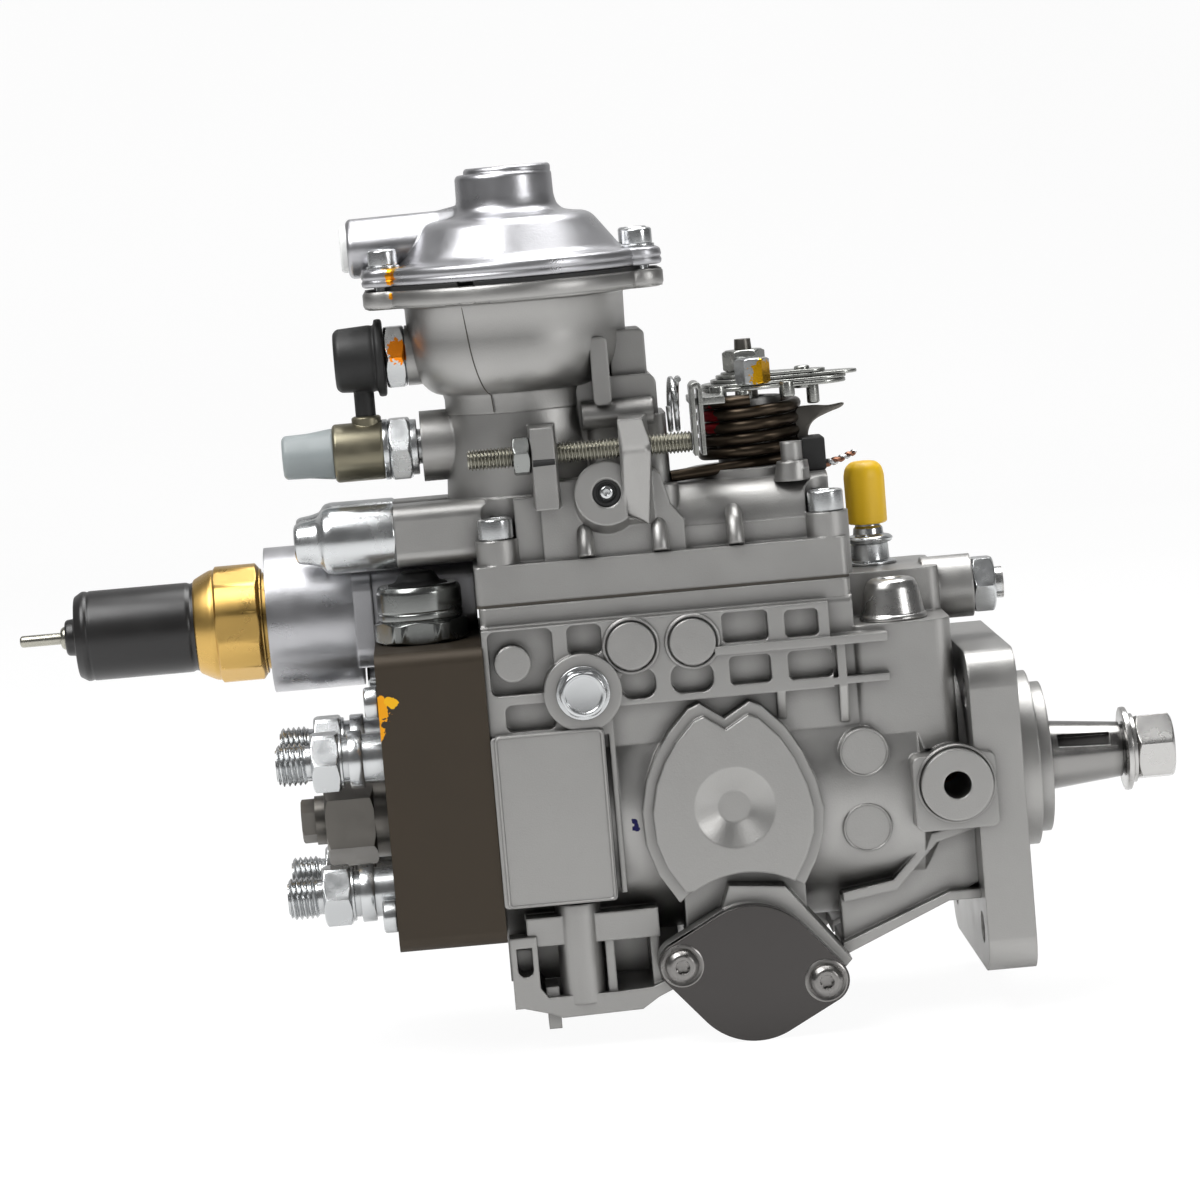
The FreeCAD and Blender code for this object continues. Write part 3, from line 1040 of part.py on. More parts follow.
def governor_lever():
    """Governor lever: turned by the sleeve above its pivot, moves the spill collar below."""
    rear = LEVER_FACE_X - LEVER_T
    eye = along_y(-12, 12, 5.2, LEVER_PIVOT_X, LEVER_PIVOT_Z)
    plate = soft_block(rear, LEVER_FACE_X, -8.5, 8.5, 17, LEVER_TOP_Z, 3.0, Vector(1, 0, 0))
    foot = block(COLLAR_X - 2.2, LEVER_FACE_X, -3.5, 3.5, 16.5, 20)
    stem = along_z(BALL_Z, 18, 1.7, COLLAR_X, 0)
    ball = Part.makeSphere(BALL_R, Vector(COLLAR_X, 0, BALL_Z))
    body = fuse([eye, plate, foot, stem, ball])
    window = block(rear - 1, LEVER_FACE_X + 1, -2.2, 2.2, 60, 71)
    hole = along_y(-13, 13, LEVER_PIN_R + RUN, LEVER_PIVOT_X, LEVER_PIVOT_Z)
    return cut(body, [hole, window, along_x(rear - 1, LEVER_FACE_X + 1, 1.3, 0, SPRING_Z)])


def governor_spring():
    """Control spring between the governor lever and the lever shaft's pin."""
    x0 = LEVER_FACE_X + 1.5
    x1 = THROTTLE_X - 10.5
    body = coil(Vector(x0 + 6, 0, SPRING_Z), Vector(1, 0, 0), x1 - x0 - 12, 4.5, 0.9, 8.0)
    rod = along_x(LEVER_FACE_X - LEVER_T - 2.5, x0 + 7, 1.1, 0, SPRING_Z)
    head = along_x(LEVER_FACE_X - LEVER_T - 3.5, LEVER_FACE_X - LEVER_T - 0.3, 2.4, 0, SPRING_Z)
    return group([body, fuse([rod, head]), along_x(x1 - 7, THROTTLE_X - THROTTLE_PIN_OFF - THROTTLE_PIN_R - GAP, 1.1, 0, SPRING_Z)])


def throttle_shaft():
    """Vertical lever shaft with its eccentric pin inside the cover."""
    disc_z = CAVITY_TOP - 4.0
    shaft = along_z(disc_z, THROTTLE_TOP, THROTTLE_R, THROTTLE_X, 0)
    disc = along_z(disc_z, CAVITY_TOP - 0.5, 10.0, THROTTLE_X, 0)
    pin = along_z(SPRING_Z - 2.2, disc_z + 1, THROTTLE_PIN_R, THROTTLE_X - THROTTLE_PIN_OFF, 0)
    return fuse([shaft, disc, pin])


def throttle_lever():
    """Control lever stack on the lever shaft."""
    z0 = LEVER_Z
    z1 = z0 + PLATE_LEVER_T
    plate = fuse([along_z(z0, z1, 13.0, THROTTLE_X, 0),
                  soft_block(THROTTLE_X - 15, THROTTLE_X + 20, -8, 8, z0, z1, 4.0, Vector(0, 0, 1)),
                  along_z(z0, z1, 8.0, THROTTLE_X + 20, -4)])
    upper = fuse([along_z(z1, z1 + 2, 10.0, THROTTLE_X, 0),
                  soft_block(THROTTLE_X, THROTTLE_X + 31, -9, 4, z1, z1 + 2, 3.0, Vector(0, 0, 1))])
    nut = hex_bar(Vector(0, 0, 1), Vector(THROTTLE_X, 0, z1 + 2), 6.5, 13.0)
    shaft_hole = along_z(z0 - 1, THROTTLE_TOP, THROTTLE_R, THROTTLE_X, 0)
    ball = fuse([along_z(z1 + 1.9, z1 + 6, 2.5, THROTTLE_X + 25, -4)])
    return group([plate.cut(shaft_hole), fuse([upper, ball]).cut(shaft_hole), nut.cut(shaft_hole)])


def lever_bracket():
    """Folded stop tab that meets the idle screw."""
    x0 = IDLE_TIP + 0.3
    tab = soft_block(x0, x0 + 2.0, IDLE_Y - 5, IDLE_Y + 9, 96, LEVER_Z, 1.0, Vector(1, 0, 0))
    arm = block(x0, THROTTLE_X - 8, -27, -6, LEVER_Z - 2.0, LEVER_Z)
    return fuse([tab, arm])


def return_spring():
    """Torsion spring that brings the control lever back to idle."""
    return coil(Vector(THROTTLE_X, 0, ROOF_Z + 2.2), Vector(0, 0, 1), LEVER_Z - 2.4 - ROOF_Z - 2.4,
                RETURN_SPRING_R, RETURN_WIRE_R, 5.0)


def adjusting_screws():
    """Idle screw with its lock nut, and the two capped screws at the rear."""
    idle = along_x(IDLE_END, IDLE_TIP, SCREW_M6_R, IDLE_Y, IDLE_Z)
    nut = hex_bar(Vector(1, 0, 0), Vector(-133.4, IDLE_Y, IDLE_Z), 4.8, 10.0)
    nut = nut.cut(along_x(-140, -120, SCREW_M6_R, IDLE_Y, IDLE_Z))
    solids = [idle, nut]
    for y in LOAD_SCREW_YS:
        cap = revolved([(0, SCREW_M6_R), (0, LOAD_CAP_R), (15, LOAD_CAP_R), (17, 8.0), (22, 6.5), (22, 6.0),
                        (28.8, 6.0), (28.8, 0), (27.8, 0), (27.8, SCREW_M6_R)],
                       Vector(-168, y, LOAD_SCREW_Z), Vector(-1, 0, 0))
        solids += [cap, along_x(-195.7, -136, SCREW_M6_R, y, LOAD_SCREW_Z)]
    return group(solids)


def screw_set():
    """All socket screws, the lever's pivot screws and the lock nut of the governor shaft."""
    solids = []
    up = Vector(0, 0, 1)
    for x, y in cover_screw_places():
        solids.append(socket_screw(Vector(x, y, COVER_SCREW_SEAT), up, 5.0, 6.0, SCREW_M6_R, 26, 5.0))
    top = BOWL_TOP_Z + RIM_T + DIAPHRAGM_T + RIM_T
    for x, y in boost_screw_places():
        solids.append(socket_screw(Vector(x, y, top), up, 4.2, 5.0, 2.5, 15, 4.0))
    for side in (-1, 1):
        out = Vector(0, side, 0)
        face = side * (TIMING_END_Y + COVER_PLATE_T)
        for x, z in timing_screw_places():
            solids.append(socket_screw(Vector(x, face, z), out, 4.6, 2.6, 2.5, 11, 4.0))
        seat = side * (SIDE_Y + 2)
        pin = along_y(min(side * 3, seat), max(side * 3, seat), LEVER_PIN_R, LEVER_PIVOT_X, LEVER_PIVOT_Z)
        washer = along_y(min(seat, seat + side), max(seat, seat + side), 7.5, LEVER_PIVOT_X, LEVER_PIVOT_Z)
        head = hex_bar(out, Vector(LEVER_PIVOT_X, seat + side * 0.99, LEVER_PIVOT_Z), 4.0, 12.0)
        solids.append(fuse([pin, washer, head]))
    rear = Vector(-1, 0, 0)
    for y in (-33.0, 33.0):
        for z in (-24.0, 36.0):
            solids.append(socket_screw(Vector(HEAD_REAR, y, z), rear, 4.6, 4.0, SCREW_M6_R, 30, 4.0))
    nut = hex_bar(Vector(1, 0, 0), Vector(-6, 0, GOV_Z), 6.5, 15.0)
    solids.append(nut.cut(along_x(-7, 4, GOV_SHAFT_R, 0, GOV_Z)))
    return group(solids)


def solenoid_body():
    """Shut-off solenoid: threaded nose, hexagon, can, boot and terminal."""
    x, y = SOLENOID_X, SOLENOID_Y
    body = fuse([along_z(36, HEAD_TOP + 1, 8.0, x, y),
                 hex_bar(Vector(0, 0, 1), Vector(x, y, HEAD_TOP), 7.0, 24.0),
                 along_z(HEAD_TOP + 6.5, 66, SOLENOID_R, x, y)])
    body = body.cut(along_z(35, 57, 4.1, x, y))
    boot = fuse([cone_z(66, 69.5, 8.5, 5.0, x, y), along_z(69.5, 71, 2.5, x, y)])
    return group([body, boot])


def armature():
    """Sealing armature of the shut-off solenoid."""
    return fuse([along_z(29, 53, 4.0, SOLENOID_X, SOLENOID_Y), along_z(27, 29.1, 2.5, SOLENOID_X, SOLENOID_Y)])


def cold_start_housing():
    """Cast housing of the cold-start unit with its foot on the head."""
    body = along_x(-207, -181, COLD_R, COLD_Y, COLD_Z)
    flange = soft_block(-182, HEAD_REAR, 3.3, 46.7, 41.5, 70, 6.0, Vector(1, 0, 0))
    foot = soft_block(HEAD_REAR - 0.5, HOUSING_REAR - 0.5, 5, 41, HEAD_TOP, 70, 5.0, Vector(1, 0, 0))
    body = fuse([body, flange, foot])
    return cut(body, [along_x(-208, -184, 14.0, COLD_Y, COLD_Z)])


def cold_start_element():
    """Brass screw-in body, heated sleeve and contact pin."""
    brass = fuse([along_x(-209.5, -190, 14.0, COLD_Y, COLD_Z), along_x(-211, -207, 17.5, COLD_Y, COLD_Z),
                  hex_bar(Vector(1, 0, 0), Vector(-227, COLD_Y, COLD_Z), 17.5, BRASS_FLATS)])
    sleeve = revolved([(0, 0), (0, 13.0), (33, 13.0), (35.7, 11.5), (35.7, 5.0), (39, 5.0), (39, 0)],
                      Vector(-227, COLD_Y, COLD_Z), Vector(-1, 0, 0))
    pin = along_x(-279.5, -266, 1.7, COLD_Y, COLD_Z)
    return group([brass, sleeve, pin])


def hose_fittings():
    """Fuel inlet barb, return union, its nipples and the plain cap on it."""
    z0 = PARTING_Z - 1.2
    inlet = revolved([(0, 2.0), (0, 7.5), (4, 7.5), (4, 4.0), (6.5, 4.0), (6.5, 6.0), (8.5, 6.0), (8.5, 3.6),
                      (24, 3.6), (24, 2.0)], Vector(INLET_X, 12, z0), Vector(0, 0, 1))
    stem = cut(along_z(z0 - 10, z0, 5.0, INLET_X, 12), [along_z(z0 - 11, z0 + 1, 2.0, INLET_X, 12)])
    inlet = fuse([inlet, stem])
    nipple = fuse([hex_bar(Vector(1, 0, 0), Vector(-168, 0, 104), 9.0, 17.0), along_x(-160, -152, 5.0, 0, 104)])
    union = fuse([along_x(-183.5, -167.9, 8.3, 0, 104), along_z(106, 114, 4.2, -173.5, 0)])
    cap = along_x(-198, -183.5, 6.5, 0, 104)
    upper = fuse([hex_bar(Vector(1, 0, 0), Vector(-166.6, 0, 130), 6.0, 17.0), along_x(-161, -152, 4.0, 0, 130)])
    return group([inlet, fuse([nipple, union]), cap, upper])


def inlet_dust_cap():
    """Dust cap pushed over the inlet barb."""
    base = PARTING_Z + 10.5
    body = fuse([along_z(base, base + 15, 5.7, INLET_X, 12), cone_z(base + 15, base + 18, 5.7, 3.5, INLET_X, 12)])
    return body.cut(along_z(base - 1, base + 13, 3.6, INLET_X, 12))


def elbow_fitting():
    """Rubber elbow on the upper nipple with its stub."""
    head = fuse([along_x(-181, -166.6, 9.5, 0, 130), along_x(-169.1, -166.6, 11.0, 0, 130)])
    return fuse([head, along_z(114, 126, 2.9, -173.5, 0)])


def pressure_valve_body():
    """Screwed-in body of the supply pressure valve."""
    body = revolved([(-15, 0), (-15, 7.0), (0, 7.0), (0, 8.5), (6, 8.2), (11, 5.5), (12, 4.5), (12, 0)],
                    Vector(PRESSURE_X, PRESSURE_Y, DECK_Z), Vector(0, 0, 1))
    return body.cut(along_z(DECK_Z - 16, DECK_Z + 4, 4.0, PRESSURE_X, PRESSURE_Y))


def pressure_piston():
    """Regulating piston inside the supply pressure valve."""
    return along_z(DECK_Z - 14, DECK_Z - 6, 4.0 - RUN, PRESSURE_X, PRESSURE_Y)


NODES = {
    "pump_housing": pump_housing, "governor_cover": governor_cover, "seals": seals,
    "distributor_head": distributor_head, "timing_covers": timing_covers, "shaft_bush": shaft_bush,
    "supply_ring": supply_ring, "governor_shaft": governor_shaft, "valve_holders": valve_holders,
    "centre_plug": centre_plug, "barrel": barrel, "plunger_springs": plunger_springs, "screw_set": screw_set,
    "adjusting_screws": adjusting_screws, "boost_cap": boost_cap, "solenoid_body": solenoid_body,
    "cold_start_housing": cold_start_housing, "cold_start_element": cold_start_element,
    "hose_fittings": hose_fittings, "inlet_dust_cap": inlet_dust_cap, "elbow_fitting": elbow_fitting,
    "pressure_valve_body": pressure_valve_body, "drive_shaft": drive_shaft, "shaft_nut": shaft_nut,
    "drive_gear": drive_gear, "pump_rotor": pump_rotor, "cam_plate": cam_plate, "cross_disc": cross_disc,
    "plunger": plunger, "roller_ring": roller_ring, "slide_block": slide_block,
    "timing_piston": timing_piston, "timing_spring": timing_spring, "governor_gear": governor_gear,
    "governor_sleeve": governor_sleeve, "governor_lever": governor_lever, "spill_collar": spill_collar,
    "governor_spring": governor_spring, "throttle_shaft": throttle_shaft, "throttle_lever": throttle_lever,
    "lever_bracket": lever_bracket, "return_spring": return_spring, "diaphragm": diaphragm,
    "boost_rod": boost_rod, "boost_spring": boost_spring, "feeler_pin": feeler_pin, "stop_lever": stop_lever,
    "stop_lever_pin": stop_lever_pin,
    "armature": armature, "pressure_piston": pressure_piston, "delivery_valves": delivery_valves,
    "valve_springs": valve_springs,
}
for number in range(LOBES):
    NODES["roller_%d" % (number + 1)] = lambda i=number: roller(i)
for number in range(WEIGHTS):
    NODES["flyweight_%d" % (number + 1)] = lambda i=number: flyweight(i)

os.makedirs("parts", exist_ok=True)
for node, make in NODES.items():
    shape = make()
    shape.exportStep("parts/%s.step" % node)
    print(node, len(shape.Solids), shape.isValid(), round(shape.Volume, 1))
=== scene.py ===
"""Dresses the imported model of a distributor-type diesel injection pump.

Sizes below are millimetres in the row frame: +X out along the drive shaft, +Z up, the visible side at -Y.
"""

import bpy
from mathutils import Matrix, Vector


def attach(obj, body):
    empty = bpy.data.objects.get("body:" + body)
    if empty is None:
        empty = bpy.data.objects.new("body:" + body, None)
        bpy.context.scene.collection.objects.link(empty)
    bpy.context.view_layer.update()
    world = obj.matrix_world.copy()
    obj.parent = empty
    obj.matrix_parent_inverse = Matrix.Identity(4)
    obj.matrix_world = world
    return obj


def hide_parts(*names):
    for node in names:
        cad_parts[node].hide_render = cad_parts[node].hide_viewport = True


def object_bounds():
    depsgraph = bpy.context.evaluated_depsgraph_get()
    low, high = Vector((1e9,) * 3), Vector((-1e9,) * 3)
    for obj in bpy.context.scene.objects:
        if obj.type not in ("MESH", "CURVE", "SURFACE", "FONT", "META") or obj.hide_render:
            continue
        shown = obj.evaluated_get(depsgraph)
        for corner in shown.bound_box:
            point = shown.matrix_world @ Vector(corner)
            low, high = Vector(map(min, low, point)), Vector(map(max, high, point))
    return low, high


bl_info = {
    "name": "Injection pump dressing",
    "version": (1, 0, 0),
    "blender": (4, 5, 0),
    "location": "View3D > Sidebar > Pump",
    "description": "Builds the visible pieces and finishes of a diesel injection pump on its packed CAD frame",
    "category": "Object",
}

import bmesh
import bpy
import numpy as np
from bpy.props import FloatProperty, FloatVectorProperty, PointerProperty
from mathutils import Matrix, Vector

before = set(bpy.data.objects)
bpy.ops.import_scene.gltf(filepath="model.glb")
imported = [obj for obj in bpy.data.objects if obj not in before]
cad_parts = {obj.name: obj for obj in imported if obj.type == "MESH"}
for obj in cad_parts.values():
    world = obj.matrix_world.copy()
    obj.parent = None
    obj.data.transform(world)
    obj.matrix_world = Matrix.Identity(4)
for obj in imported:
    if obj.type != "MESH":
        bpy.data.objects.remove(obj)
CAD_BOX = [list(corner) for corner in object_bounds()]
MM = 0.001
BOOST_X = -129.0  # axis of the boost compensator, its rim and the four screws through the rim
RIM_R = 39.3
SCREW_CIRCLE = 38.0
SCREW_ANGLES = (-20, 20, 160, 200)
SCREW_BOSS_R = 6.5
SCREW_STEPS = 72  # points once round a screw's head
CAP_BASE = 150.2
AIR_PORT = (-174.5, 0, 161.2)
SHAFT = (0, 0, 0)
OUTLET_OFFSET = 19.0
IDLE_SCREW = (0, -34.0, 101.0)
CAPPED_SCREWS = ((0, -14.0, 80.5), (0, 6.0, 80.5))
COVER_TOP = 78.0  # the flange of the governor cover
TIMING_COVER = (-79.3, -46.5)
GOVERNOR_SHAFT = (0, 0, 51.0)
GOVERNOR_PIVOT = (-119.8, 0, 34.8)
COLD_START = (0, 25.0, 56.0)
SOLENOID = (-163.0, -12.0, 0)
THROTTLE_X = -65.4
INLET = (-33.0, 12.0, 0)
INLET_SEAT = 58.3
RETURN_UNION = (0, 0, 104)
ELBOW = (0, 0, 130)
ELBOW_X = -173.5
AXES = {"x": ((1, 0, 0), (0, 1, 0), (0, 0, 1)), "-x": ((-1, 0, 0), (0, 0, 1), (0, 1, 0)),
        "y": ((0, 1, 0), (0, 0, 1), (1, 0, 0)), "-y": ((0, -1, 0), (1, 0, 0), (0, 0, 1)),
        "z": ((0, 0, 1), (1, 0, 0), (0, 1, 0)), "-z": ((0, 0, -1), (0, 1, 0), (1, 0, 0))}


def linear(code):
    """An sRGB hex colour as linear values: ((c + 0.055) / 1.055) ^ 2.4 above the dark toe, c / 12.92 in it."""
    c = np.array([int(code[i:i + 2], 16) for i in (1, 3, 5)]) / 255.0
    return tuple(np.where(c <= 0.04045, c / 12.92, ((c + 0.055) / 1.055) ** 2.4).tolist())


def grid(points, wrap_u=False, wrap_v=True, caps=False):
    """Quads over a grid of points p(u, v). Wrapping joins the last row or column to the first;
    caps close the first and last row with one face each."""
    nu, nv = points.shape[:2]
    index = np.arange(nu * nv).reshape(nu, nv)
    rows = np.append(np.arange(nu), 0) if wrap_u else np.arange(nu)
    cols = np.append(np.arange(nv), 0) if wrap_v else np.arange(nv)
    k = index[np.ix_(rows, cols)]
    quads = np.stack([k[:-1, :-1], k[1:, :-1], k[1:, 1:], k[:-1, 1:]], -1).reshape(-1, 4)
    ends = [index[0].tolist(), index[-1].tolist()[::-1]] if caps else []
    return points.reshape(-1, 3), quads.tolist() + ends


def ball_corners(profile, radius, steps=4):
    """Softens the inner corners of a polyline: each becomes the curve
    (1 - t)^2 A + 2 t (1 - t) P + t^2 B, where A and B lie on its two runs, radius from the corner."""
    p = np.asarray(profile, float)
    before, after = p[:-2] - p[1:-1], p[2:] - p[1:-1]
    lb, la = np.linalg.norm(before, axis=1), np.linalg.norm(after, axis=1)
    reach = np.minimum(np.broadcast_to(radius, lb.shape), 0.45 * np.minimum(lb, la))
    a = p[1:-1] + before * (reach / lb)[:, None]
    b = p[1:-1] + after * (reach / la)[:, None]
    t = np.linspace(0, 1, steps + 1)[None, :, None]
    curve = (1 - t) ** 2 * a[:, None] + 2 * t * (1 - t) * p[1:-1, None] + t ** 2 * b[:, None]
    return np.concatenate([p[:1], curve.reshape(-1, p.shape[1]), p[-1:]])


def placed(a, x, y, origin, axis):
    """Points from a distance along an axis and two across it: origin + a e0 + x e1 + y e2."""
    e = np.array(AXES[axis] if isinstance(axis, str) else axis, float)
    return np.asarray(origin, float) + a[..., None] * e[0] + x[..., None] * e[1] + y[..., None] * e[2]


def around(steps):
    """A row of angles once round, without the last."""
    return np.linspace(0, 2 * np.pi, steps, endpoint=False)[None, :]


def spun(line, steps):
    """A profile's distances and radii, repeated once round."""
    return (np.broadcast_to(line[:, k:k + 1], (len(line), steps)) for k in (0, 1))


def polar(a, r, phi, origin, axis):
    """Points at a along the axis: origin + a e0 + r (cos phi e1 + sin phi e2)."""
    return placed(a, r * np.cos(phi), r * np.sin(phi), origin, axis)


def turned(profile, origin, axis, steps=72, corner=0.0, waist=None, ring=False):
    """A turned surface: p(a, phi) = origin + a e0 + r (cos phi e1 + sin phi e2) along the profile (a, r).
    waist(a, phi, r) may return another radius, for flats and knurls. A ring's profile closes on itself."""
    line = ball_corners(profile, corner) if corner else np.asarray(profile, float)
    phi = around(steps)
    a, r = spun(line, steps)
    if waist:
        r = waist(a, phi, r)
    closed = not ring and (line[0, 1] > 1e-6 or line[-1, 1] > 1e-6)
    return grid(polar(a, r, phi, origin, axis), wrap_u=ring, caps=closed)


def hex_radius(phi, flats):
    """Radius of a hexagon at angle phi: half the flats over the cosine of the angle to the nearest flat's middle."""
    return 0.5 * flats / np.cos(np.mod(phi, np.pi / 3) - np.pi / 6)


def hexagon(a0, a1, flats, origin, axis, bore=0.0, chamfer=0.6, steps=96, turn=0.0):
    """A hexagon nut or head: p = min(hexagon radius, cone radius) at each angle, so its corners show the
    curved lines of a turned chamfer. A bore above zero makes it a ring."""
    top = flats / 2 * 1.155
    a = np.concatenate([[a0, a0], np.linspace(a0 + 0.02, a0 + 1.0, 7), np.linspace(a1 - 1.0, a1 - 0.02, 7), [a1, a1]])
    phi = around(steps)
    cone = flats / 2 * 0.955 + np.minimum(a - a0, a1 - a)[:, None] / chamfer
    r = np.minimum(hex_radius(phi + np.radians(turn), flats), np.minimum(cone, top))
    r[[0, -1]] = bore
    a = np.broadcast_to(a[:, None], r.shape)
    return grid(polar(a, r, phi, origin, axis), wrap_u=bore > 0)


def threaded(a0, a1, radius, pitch, origin, axis, depth=None, chamfer=1.0, bore=0.0):
    """A screw thread: r = R - depth * w, where w is a triangle wave of (a / pitch - phi / 2 pi),
    flattened at its crest and root, and both ends run into a chamfer."""
    depth = 0.6 * pitch if depth is None else depth
    a = np.linspace(a0, a1, int((a1 - a0) / pitch * 8) + 1)[:, None]
    phi = around(36)
    wave = np.abs(np.mod(a / pitch - phi / (2 * np.pi), 1.0) * 2 - 1)
    r = radius - depth * np.clip(wave * 1.35 - 0.18, 0, 1)
    r = np.minimum(r, radius - chamfer + np.minimum(a - a0, a1 - a))
    a = np.broadcast_to(a, r.shape)
    ends = np.full_like(r[:1], bore)
    a = np.concatenate([a[:1], a, a[-1:]])
    r = np.concatenate([ends, r, ends])
    return grid(polar(a, r, phi, origin, axis), wrap_u=bore > 0)


def head_screw(head_r, head_h, key, seat, axis, knurl=0.0):
    """A socket-head screw: the profile runs up the round head, over its edge and down the key's hexagon,
    whose radius is half the key over the cosine of the angle to the nearest flat."""
    line = ball_corners([(0, 0), (0, head_r - 0.25), (0.35, head_r), (head_h - 0.5, head_r), (head_h, head_r - 0.55),
                         (head_h, key * 0.62), (head_h - 0.35, key * 0.56)], 0.3, 3)
    line = np.concatenate([line, [(head_h * 0.45, key * 0.56), (head_h * 0.42, 0)]])
    phi = around(SCREW_STEPS)
    a, r = spun(line, SCREW_STEPS)
    inner = np.arange(len(line))[:, None] >= len(line) - 3
    r = np.where(inner & (r > 0), hex_radius(phi, key), r)
    grip = (a > 0.8) & (a < head_h - 1.0) & ~inner
    r = r + np.where(grip, knurl * np.sign(np.sin(phi * SCREW_STEPS / 2)), 0)
    return grid(polar(a, r, phi, seat, axis))


def star_screw(head_r, head_h, seat, axis):
    """A button head with a six-lobed recess: radius = r0 (1 + 0.16 cos 6 phi) inside, a low dome outside."""
    line = ball_corners([(0, 0), (0, head_r), (head_h * 0.45, head_r), (head_h, head_r * 0.72), (head_h, 2.0),
                         (head_h - 0.2, 1.9)], 0.5, 4)
    line = np.concatenate([line, [(0.5, 1.8), (0.4, 0)]])
    phi = around(SCREW_STEPS)
    a, r = spun(line, SCREW_STEPS)
    inner = np.arange(len(line))[:, None] >= len(line) - 3
    r = np.where(inner, r * (1 + 0.16 * np.cos(6 * phi)), r)
    return grid(polar(a, r, phi, seat, axis))


def tube(path, radius, sides=12):
    """A round wire along a path: p = c(s) + r (cos t n + sin t b), where n and b are made square to the
    path's direction from one fixed side vector, and both ends are closed."""
    c = np.asarray(path, float)
    d = np.gradient(c, axis=0)
    d /= np.linalg.norm(d, axis=1)[:, None]
    side = np.array([0.123, 0.371, 0.921])
    n = side - (d @ side)[:, None] * d
    n /= np.linalg.norm(n, axis=1)[:, None]
    b = np.cross(d, n)
    t = np.linspace(0, 2 * np.pi, sides, endpoint=False)[None, :, None]
    r = np.broadcast_to(radius, (len(c),))[:, None, None]
    return grid(c[:, None] + r * (np.cos(t) * n[:, None] + np.sin(t) * b[:, None]), caps=True)


def smooth_path(points, steps=10):
    """A curve through points, from a cubic blend of each four neighbours: its slope at a point is half the way from
    the point before to the one after."""
    p = np.asarray(points, float)
    p = np.concatenate([2 * p[:1] - p[1:2], p, 2 * p[-1:] - p[-2:-1]])
    t = np.linspace(0, 1, steps, endpoint=False)[None, :, None]
    a, b, c, d = (p[i:len(p) - 3 + i, None] for i in range(4))
    q = 0.5 * (2 * b + (c - a) * t + (2 * a - 5 * b + 4 * c - d) * t ** 2 + (3 * b - a - 3 * c + d) * t ** 3)
    return np.concatenate([q.reshape(-1, p.shape[1]), p[-2:-1]])


def helix(radius, length, turns, origin, axis, wire, start, dead=0.0):
    """Centre line of a coil spring: (R cos t, R sin t, pitch t / 2 pi), with dead turns lying flat at both ends.
    The wire's radius keeps the coil inside its length."""
    t = np.linspace(0, turns, int(turns * 28) + 1)
    lift = np.clip((t - dead) / (turns - 2 * dead), 0, 1) * (length - 2 * wire * (1 + 2 * dead))
    lift = lift + wire + 2 * wire * (np.minimum(t, dead) + np.maximum(t - turns + dead, 0))
    return polar(lift, radius, 2 * np.pi * t + start, origin, axis)


def slab(outline, thickness, edge, origin, axis):
    """A flat plate: the outline is carried up with its edge rounded, each ring moved in along the outline's
    normals by edge (1 - sin t) while it rises by edge (1 - cos t)."""
    o = np.asarray(outline, float)
    along = np.roll(o, -1, 0) - np.roll(o, 1, 0)
    normal = np.stack([along[:, 1], -along[:, 0]], 1) / (np.linalg.norm(along, axis=1)[:, None] + 1e-9)
    area = np.sum(o[:, 0] * np.roll(o[:, 1], -1) - np.roll(o[:, 0], -1) * o[:, 1])
    normal *= np.sign(area)
    t = np.linspace(0, np.pi / 2, 4)
    inset = np.concatenate([edge * (1 - np.sin(t)), edge * (1 - np.cos(t))])
    rise = np.concatenate([edge * (1 - np.cos(t)), thickness - edge * (1 - np.sin(t))])
    ring = o[None] - inset[:, None, None] * normal[None]
    a = np.broadcast_to(rise[:, None], ring.shape[:2])
    return grid(placed(a, ring[..., 0], ring[..., 1], origin, axis), caps=True)


def arc(cx, cy, r, start, end, steps=12):
    """Points of an arc, angles in degrees."""
    t = np.radians(np.linspace(start, end, steps))
    return np.stack([cx + r * np.cos(t), cy + r * np.sin(t)], 1)


def loop(x, y, z, r, steps=40):
    """A full circle in a plane square to Y."""
    t = np.linspace(0, 2 * np.pi, steps + 1)
    return np.stack([x + r * np.cos(t), np.full_like(t, y), z + r * np.sin(t)], 1)


def rim_waist(a, phi, r):
    """Rim of the compensator: round, with two thick ends. Its radius is the largest of the plain circle, the
    circles round the four screws and the straight bar between each two of them."""
    outline = np.full_like(phi, RIM_R)
    for angle in SCREW_ANGLES:
        delta = np.mod(phi - np.radians(angle) + np.pi, 2 * np.pi) - np.pi
        across = SCREW_CIRCLE * np.sin(delta)
        reach = SCREW_CIRCLE * np.cos(delta) + np.sqrt(np.maximum(SCREW_BOSS_R ** 2 - across ** 2, 0))
        covers = (np.abs(across) < SCREW_BOSS_R) & (np.cos(delta) > 0)
        outline = np.where(covers, np.maximum(outline, reach), outline)
    bar_end, bar_half = 42.2, 13.0
    bar = bar_end / np.maximum(np.abs(np.cos(phi)), 0.2)
    outline = np.where(np.abs(bar * np.sin(phi)) < bar_half, np.maximum(outline, bar), outline)
    rim_starts = RIM_R - 1.9
    return np.where(r > rim_starts, r - RIM_R + outline, r)


